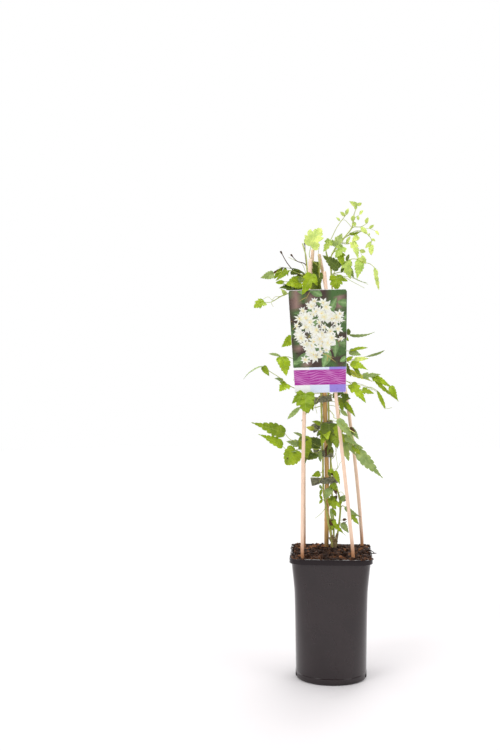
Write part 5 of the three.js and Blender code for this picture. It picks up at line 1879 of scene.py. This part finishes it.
class MakeSoil(Operator):
    """Makes the potting soil with its clods, crumbs, roots and straws."""

    bl_idname = "clematis.make_soil"
    bl_label = "Soil"

    def execute(self, context):
        settings = settings_of(context, "soil")
        peat, crumb = settings.colour, settings.crumb_colour
        chance = random.Random(SOIL_SEED)
        form = Form()
        low = FLOOR + SOIL_GAP
        inside = wall_reach(SOIL_EDGE) - WALL - SOIL_GAP
        profile = [(0, low), (wall_reach(low) - WALL - SOIL_GAP, low)]
        profile += [(wall_reach(height) - WALL - SOIL_GAP, height) for height in range(10, 200, 19)]
        profile += [(inside * (1 - ring / SOIL_RINGS), SOIL_EDGE) for ring in range(SOIL_RINGS)]
        profile += [(0, SOIL_EDGE)]
        add_rings(form, profile, lambda x, y, z: soil_rise(x, y) if z == SOIL_EDGE else 0)
        form.tints = [(*peat, UPPER)] * len(form.points)
        reach = inside - 1.5
        for _ in range(settings.crumbs):
            x, y = spot_inside(chance, reach)
            size = chance.choice(CRUMB_SIZES) * chance.uniform(0.8, 1.25)
            drier = 1.6 * clamp(speckle(x * 0.07, y * 0.07, 9) + 0.35)
            tint = blend(peat, crumb, drier * chance.random() ** 2.6)
            clod(form, (x, y, SOIL_EDGE + soil_rise(x, y) + size * 0.25), size, chance, tint)
        for _ in range(settings.fibres):
            x, y = spot_inside(chance, reach - 6)
            tint = blend(peat, crumb, chance.uniform(0.2, 1.5))
            spot = (x, y, SOIL_EDGE + soil_rise(x, y) + chance.uniform(0, 1.2))
            add_fibre(form, spot, chance.uniform(5, 16), chance.uniform(0.18, 0.5), chance, tint)
        add_ridge(form, chance, crumb)
        add_rim_bits(form, chance, peat, crumb)
        form.turn(POT_TURN)
        form.piece("potting_soil", [soil_finish()], "peat", ["soil"], 60)
        return {"FINISHED"}


class MakeCanes(Operator):
    """Makes the four thin canes and the bamboo cane in the middle."""

    bl_idname = "clematis.make_canes"
    bl_label = "Canes"

    def execute(self, context):
        settings = settings_of(context, "canes")
        pale, gold = settings.thin_colour, settings.bamboo_colour
        thin = cane_finish("peeled_cane", pale, scaled(pale, 0.84), settings.thin_stain, 30, 0.3)
        for number, (name, points) in enumerate(CANES.items()):
            form = Form()
            knobs = uneven_stick(number * 3.7)
            add_tube(form, Route(points), THIN_CANE_RADIUS, sides=20, steps=70, rounding=0.35, knobs=knobs)
            form.piece(name + "_wood", [thin], "pale_cane", [name])
        bamboo = cane_finish("bamboo_cane", gold, scaled(gold, 0.68), scaled(gold, 0.45), 24, 0.75)
        form = Form()
        route = Route(CANE_CENTRE)
        add_tube(form, route, 1, sides=24, steps=220, rounding=0.3, knobs=jointed_bamboo(route))
        form.piece("cane_centre_bamboo", [bamboo], "bamboo", ["cane_centre"])
        return {"FINISHED"}


class MakeCard(Operator):
    """Makes the picture card: clusters of plain white blossoms over a striped band."""

    bl_idname = "clematis.make_card"
    bl_label = "Picture card"

    def execute(self, context):
        settings = settings_of(context, "card")
        card = Card()
        chance = random.Random(PICTURE_SEED)
        add_bare_card(card)
        top = CARD_SHEET + 0.01
        ground = mottled_ground(settings.ground, settings.leaf_dark)
        add_panel(card, PICTURE_LOW, CARD_TALL - 0.8, 0, 1, ground, top, 0.3)
        for low, high in ((0.4, BAND_LOW), (BAND_HIGH, PICTURE_LOW)):
            add_panel(card, low, high, 0.3, FIELD_BREAK, settings.pale, top, 0.6)
            add_panel(card, low, high, FIELD_BREAK, 1, settings.lilac, top, 0.6)
        add_panel(card, BAND_LOW, BAND_HIGH, 0, 1, settings.band, top + PRINT_STEP, 0.6)
        for number in range(STRIPES):
            add_stripe(card, number, settings.band_stripe, top + PRINT_SHEET + PRINT_STEP)
        add_picture_leaves(card, settings, top + 2 * PRINT_SHEET, chance)
        add_blossoms(card, settings, top + 2 * PRINT_SHEET + 20 * PRINT_STEP, chance)
        card.piece("picture_card", [card_finish()], "card", ["label"])
        return {"FINISHED"}


class MakeTies(Operator):
    """Makes the four crinkled tape ties round the bamboo and the stems."""

    bl_idname = "clematis.make_ties"
    bl_label = "Tape ties"

    def execute(self, context):
        colour = settings_of(context, "ties").colour
        tape = tape_finish()
        cane = Route(CANE_CENTRE)
        for number, (name, (height, *sizes)) in enumerate(TIES.items()):
            form = Form()
            add_tie(form, cane.at_height(height), *sizes, colour, number * 5.3)
            form.piece(name + "_tape", [tape], "tape", [name], 60)
        return {"FINISHED"}


class MakeLeafyStems(Operator):
    """Makes the climbing stems with their side shoots and leaflets."""

    bl_idname = "clematis.make_leafy_stems"
    bl_label = "Leafy stems"

    def execute(self, context):
        foliage = settings_of(context, "foliage")
        tones = vars(foliage)
        young, old = foliage.stem_young, foliage.stem_old
        finishes = [stem_finish(), leaf_finish(foliage)]
        for name, (radius, stem, sprigs, fine) in VINES.items():
            form = Form()
            route = add_stem(form, stem, radius, [each.start for each in sprigs], young, old)
            for number, each in enumerate(sprigs):
                add_shoot(form, route.at_height(each.start), each, 10 * number + 1, tones, young)
            for number, each in enumerate(fine):
                add_shoot(form, route.at_height(each.start), each, 10 * number + 501, tones, young, True)
            if name == "vine_middle":
                add_crown(form, young, old)
            form.piece(name.replace("vine", "leafy_stem"), finishes, "foliage", [name], 50)
        add_back_stem(tones, young, old, finishes)
        return {"FINISHED"}


class MakeStudio(Operator):
    """Makes the plain floor, the white surround, the soft lights and the camera."""

    bl_idname = "clematis.make_studio"
    bl_label = "Studio"

    def execute(self, context):
        settings = settings_of(context, "studio")
        make_floor(settings.floor_colour)
        make_surround(settings.daylight)
        for name, place, size, share in LIGHTS:
            add_light(name, place, size, settings.key_power * share)
        make_camera()
        context.scene.view_settings.view_transform = "Standard"
        return {"FINISHED"}


class CLEMATIS_PT_panel(Panel):
    """Lists the plant's pieces and their settings."""

    bl_idname = "CLEMATIS_PT_panel"
    bl_label = "Potted clematis"
    bl_space_type = "VIEW_3D"
    bl_region_type = "UI"
    bl_category = "Clematis"

    def draw(self, context):
        for name, group in SETTINGS.items():
            box = self.layout.box()
            box.label(text=name.capitalize())
            for each in group.__annotations__:
                box.prop(getattr(context.scene, "clematis_" + name), each)
        for operator in OPERATORS:
            self.layout.operator(operator.bl_idname)


SETTINGS = {
    "pot": PotSettings,
    "soil": SoilSettings,
    "canes": CaneSettings,
    "card": CardSettings,
    "ties": TieSettings,
    "foliage": FoliageSettings,
    "studio": StudioSettings,
}
OPERATORS = (MakeStudio, MakePot, MakeSoil, MakeCanes, MakeCard, MakeTies, MakeLeafyStems)


def register():
    for group in SETTINGS.values():
        bpy.utils.register_class(group)
    for operator in OPERATORS:
        bpy.utils.register_class(operator)
    bpy.utils.register_class(CLEMATIS_PT_panel)
    for name, group in SETTINGS.items():
        setattr(bpy.types.Scene, "clematis_" + name, PointerProperty(type=group))


def unregister():
    for name in SETTINGS:
        delattr(bpy.types.Scene, "clematis_" + name)
    bpy.utils.unregister_class(CLEMATIS_PT_panel)
    for each in reversed((*SETTINGS.values(), *OPERATORS)):
        bpy.utils.unregister_class(each)


def main():
    register()
    bpy.ops.clematis.make_studio()
    bpy.ops.clematis.make_pot()
    bpy.ops.clematis.make_soil()
    bpy.ops.clematis.make_canes()
    bpy.ops.clematis.make_card()
    bpy.ops.clematis.make_ties()
    bpy.ops.clematis.make_leafy_stems()
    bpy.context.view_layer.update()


if __name__ == "__main__":
    main()
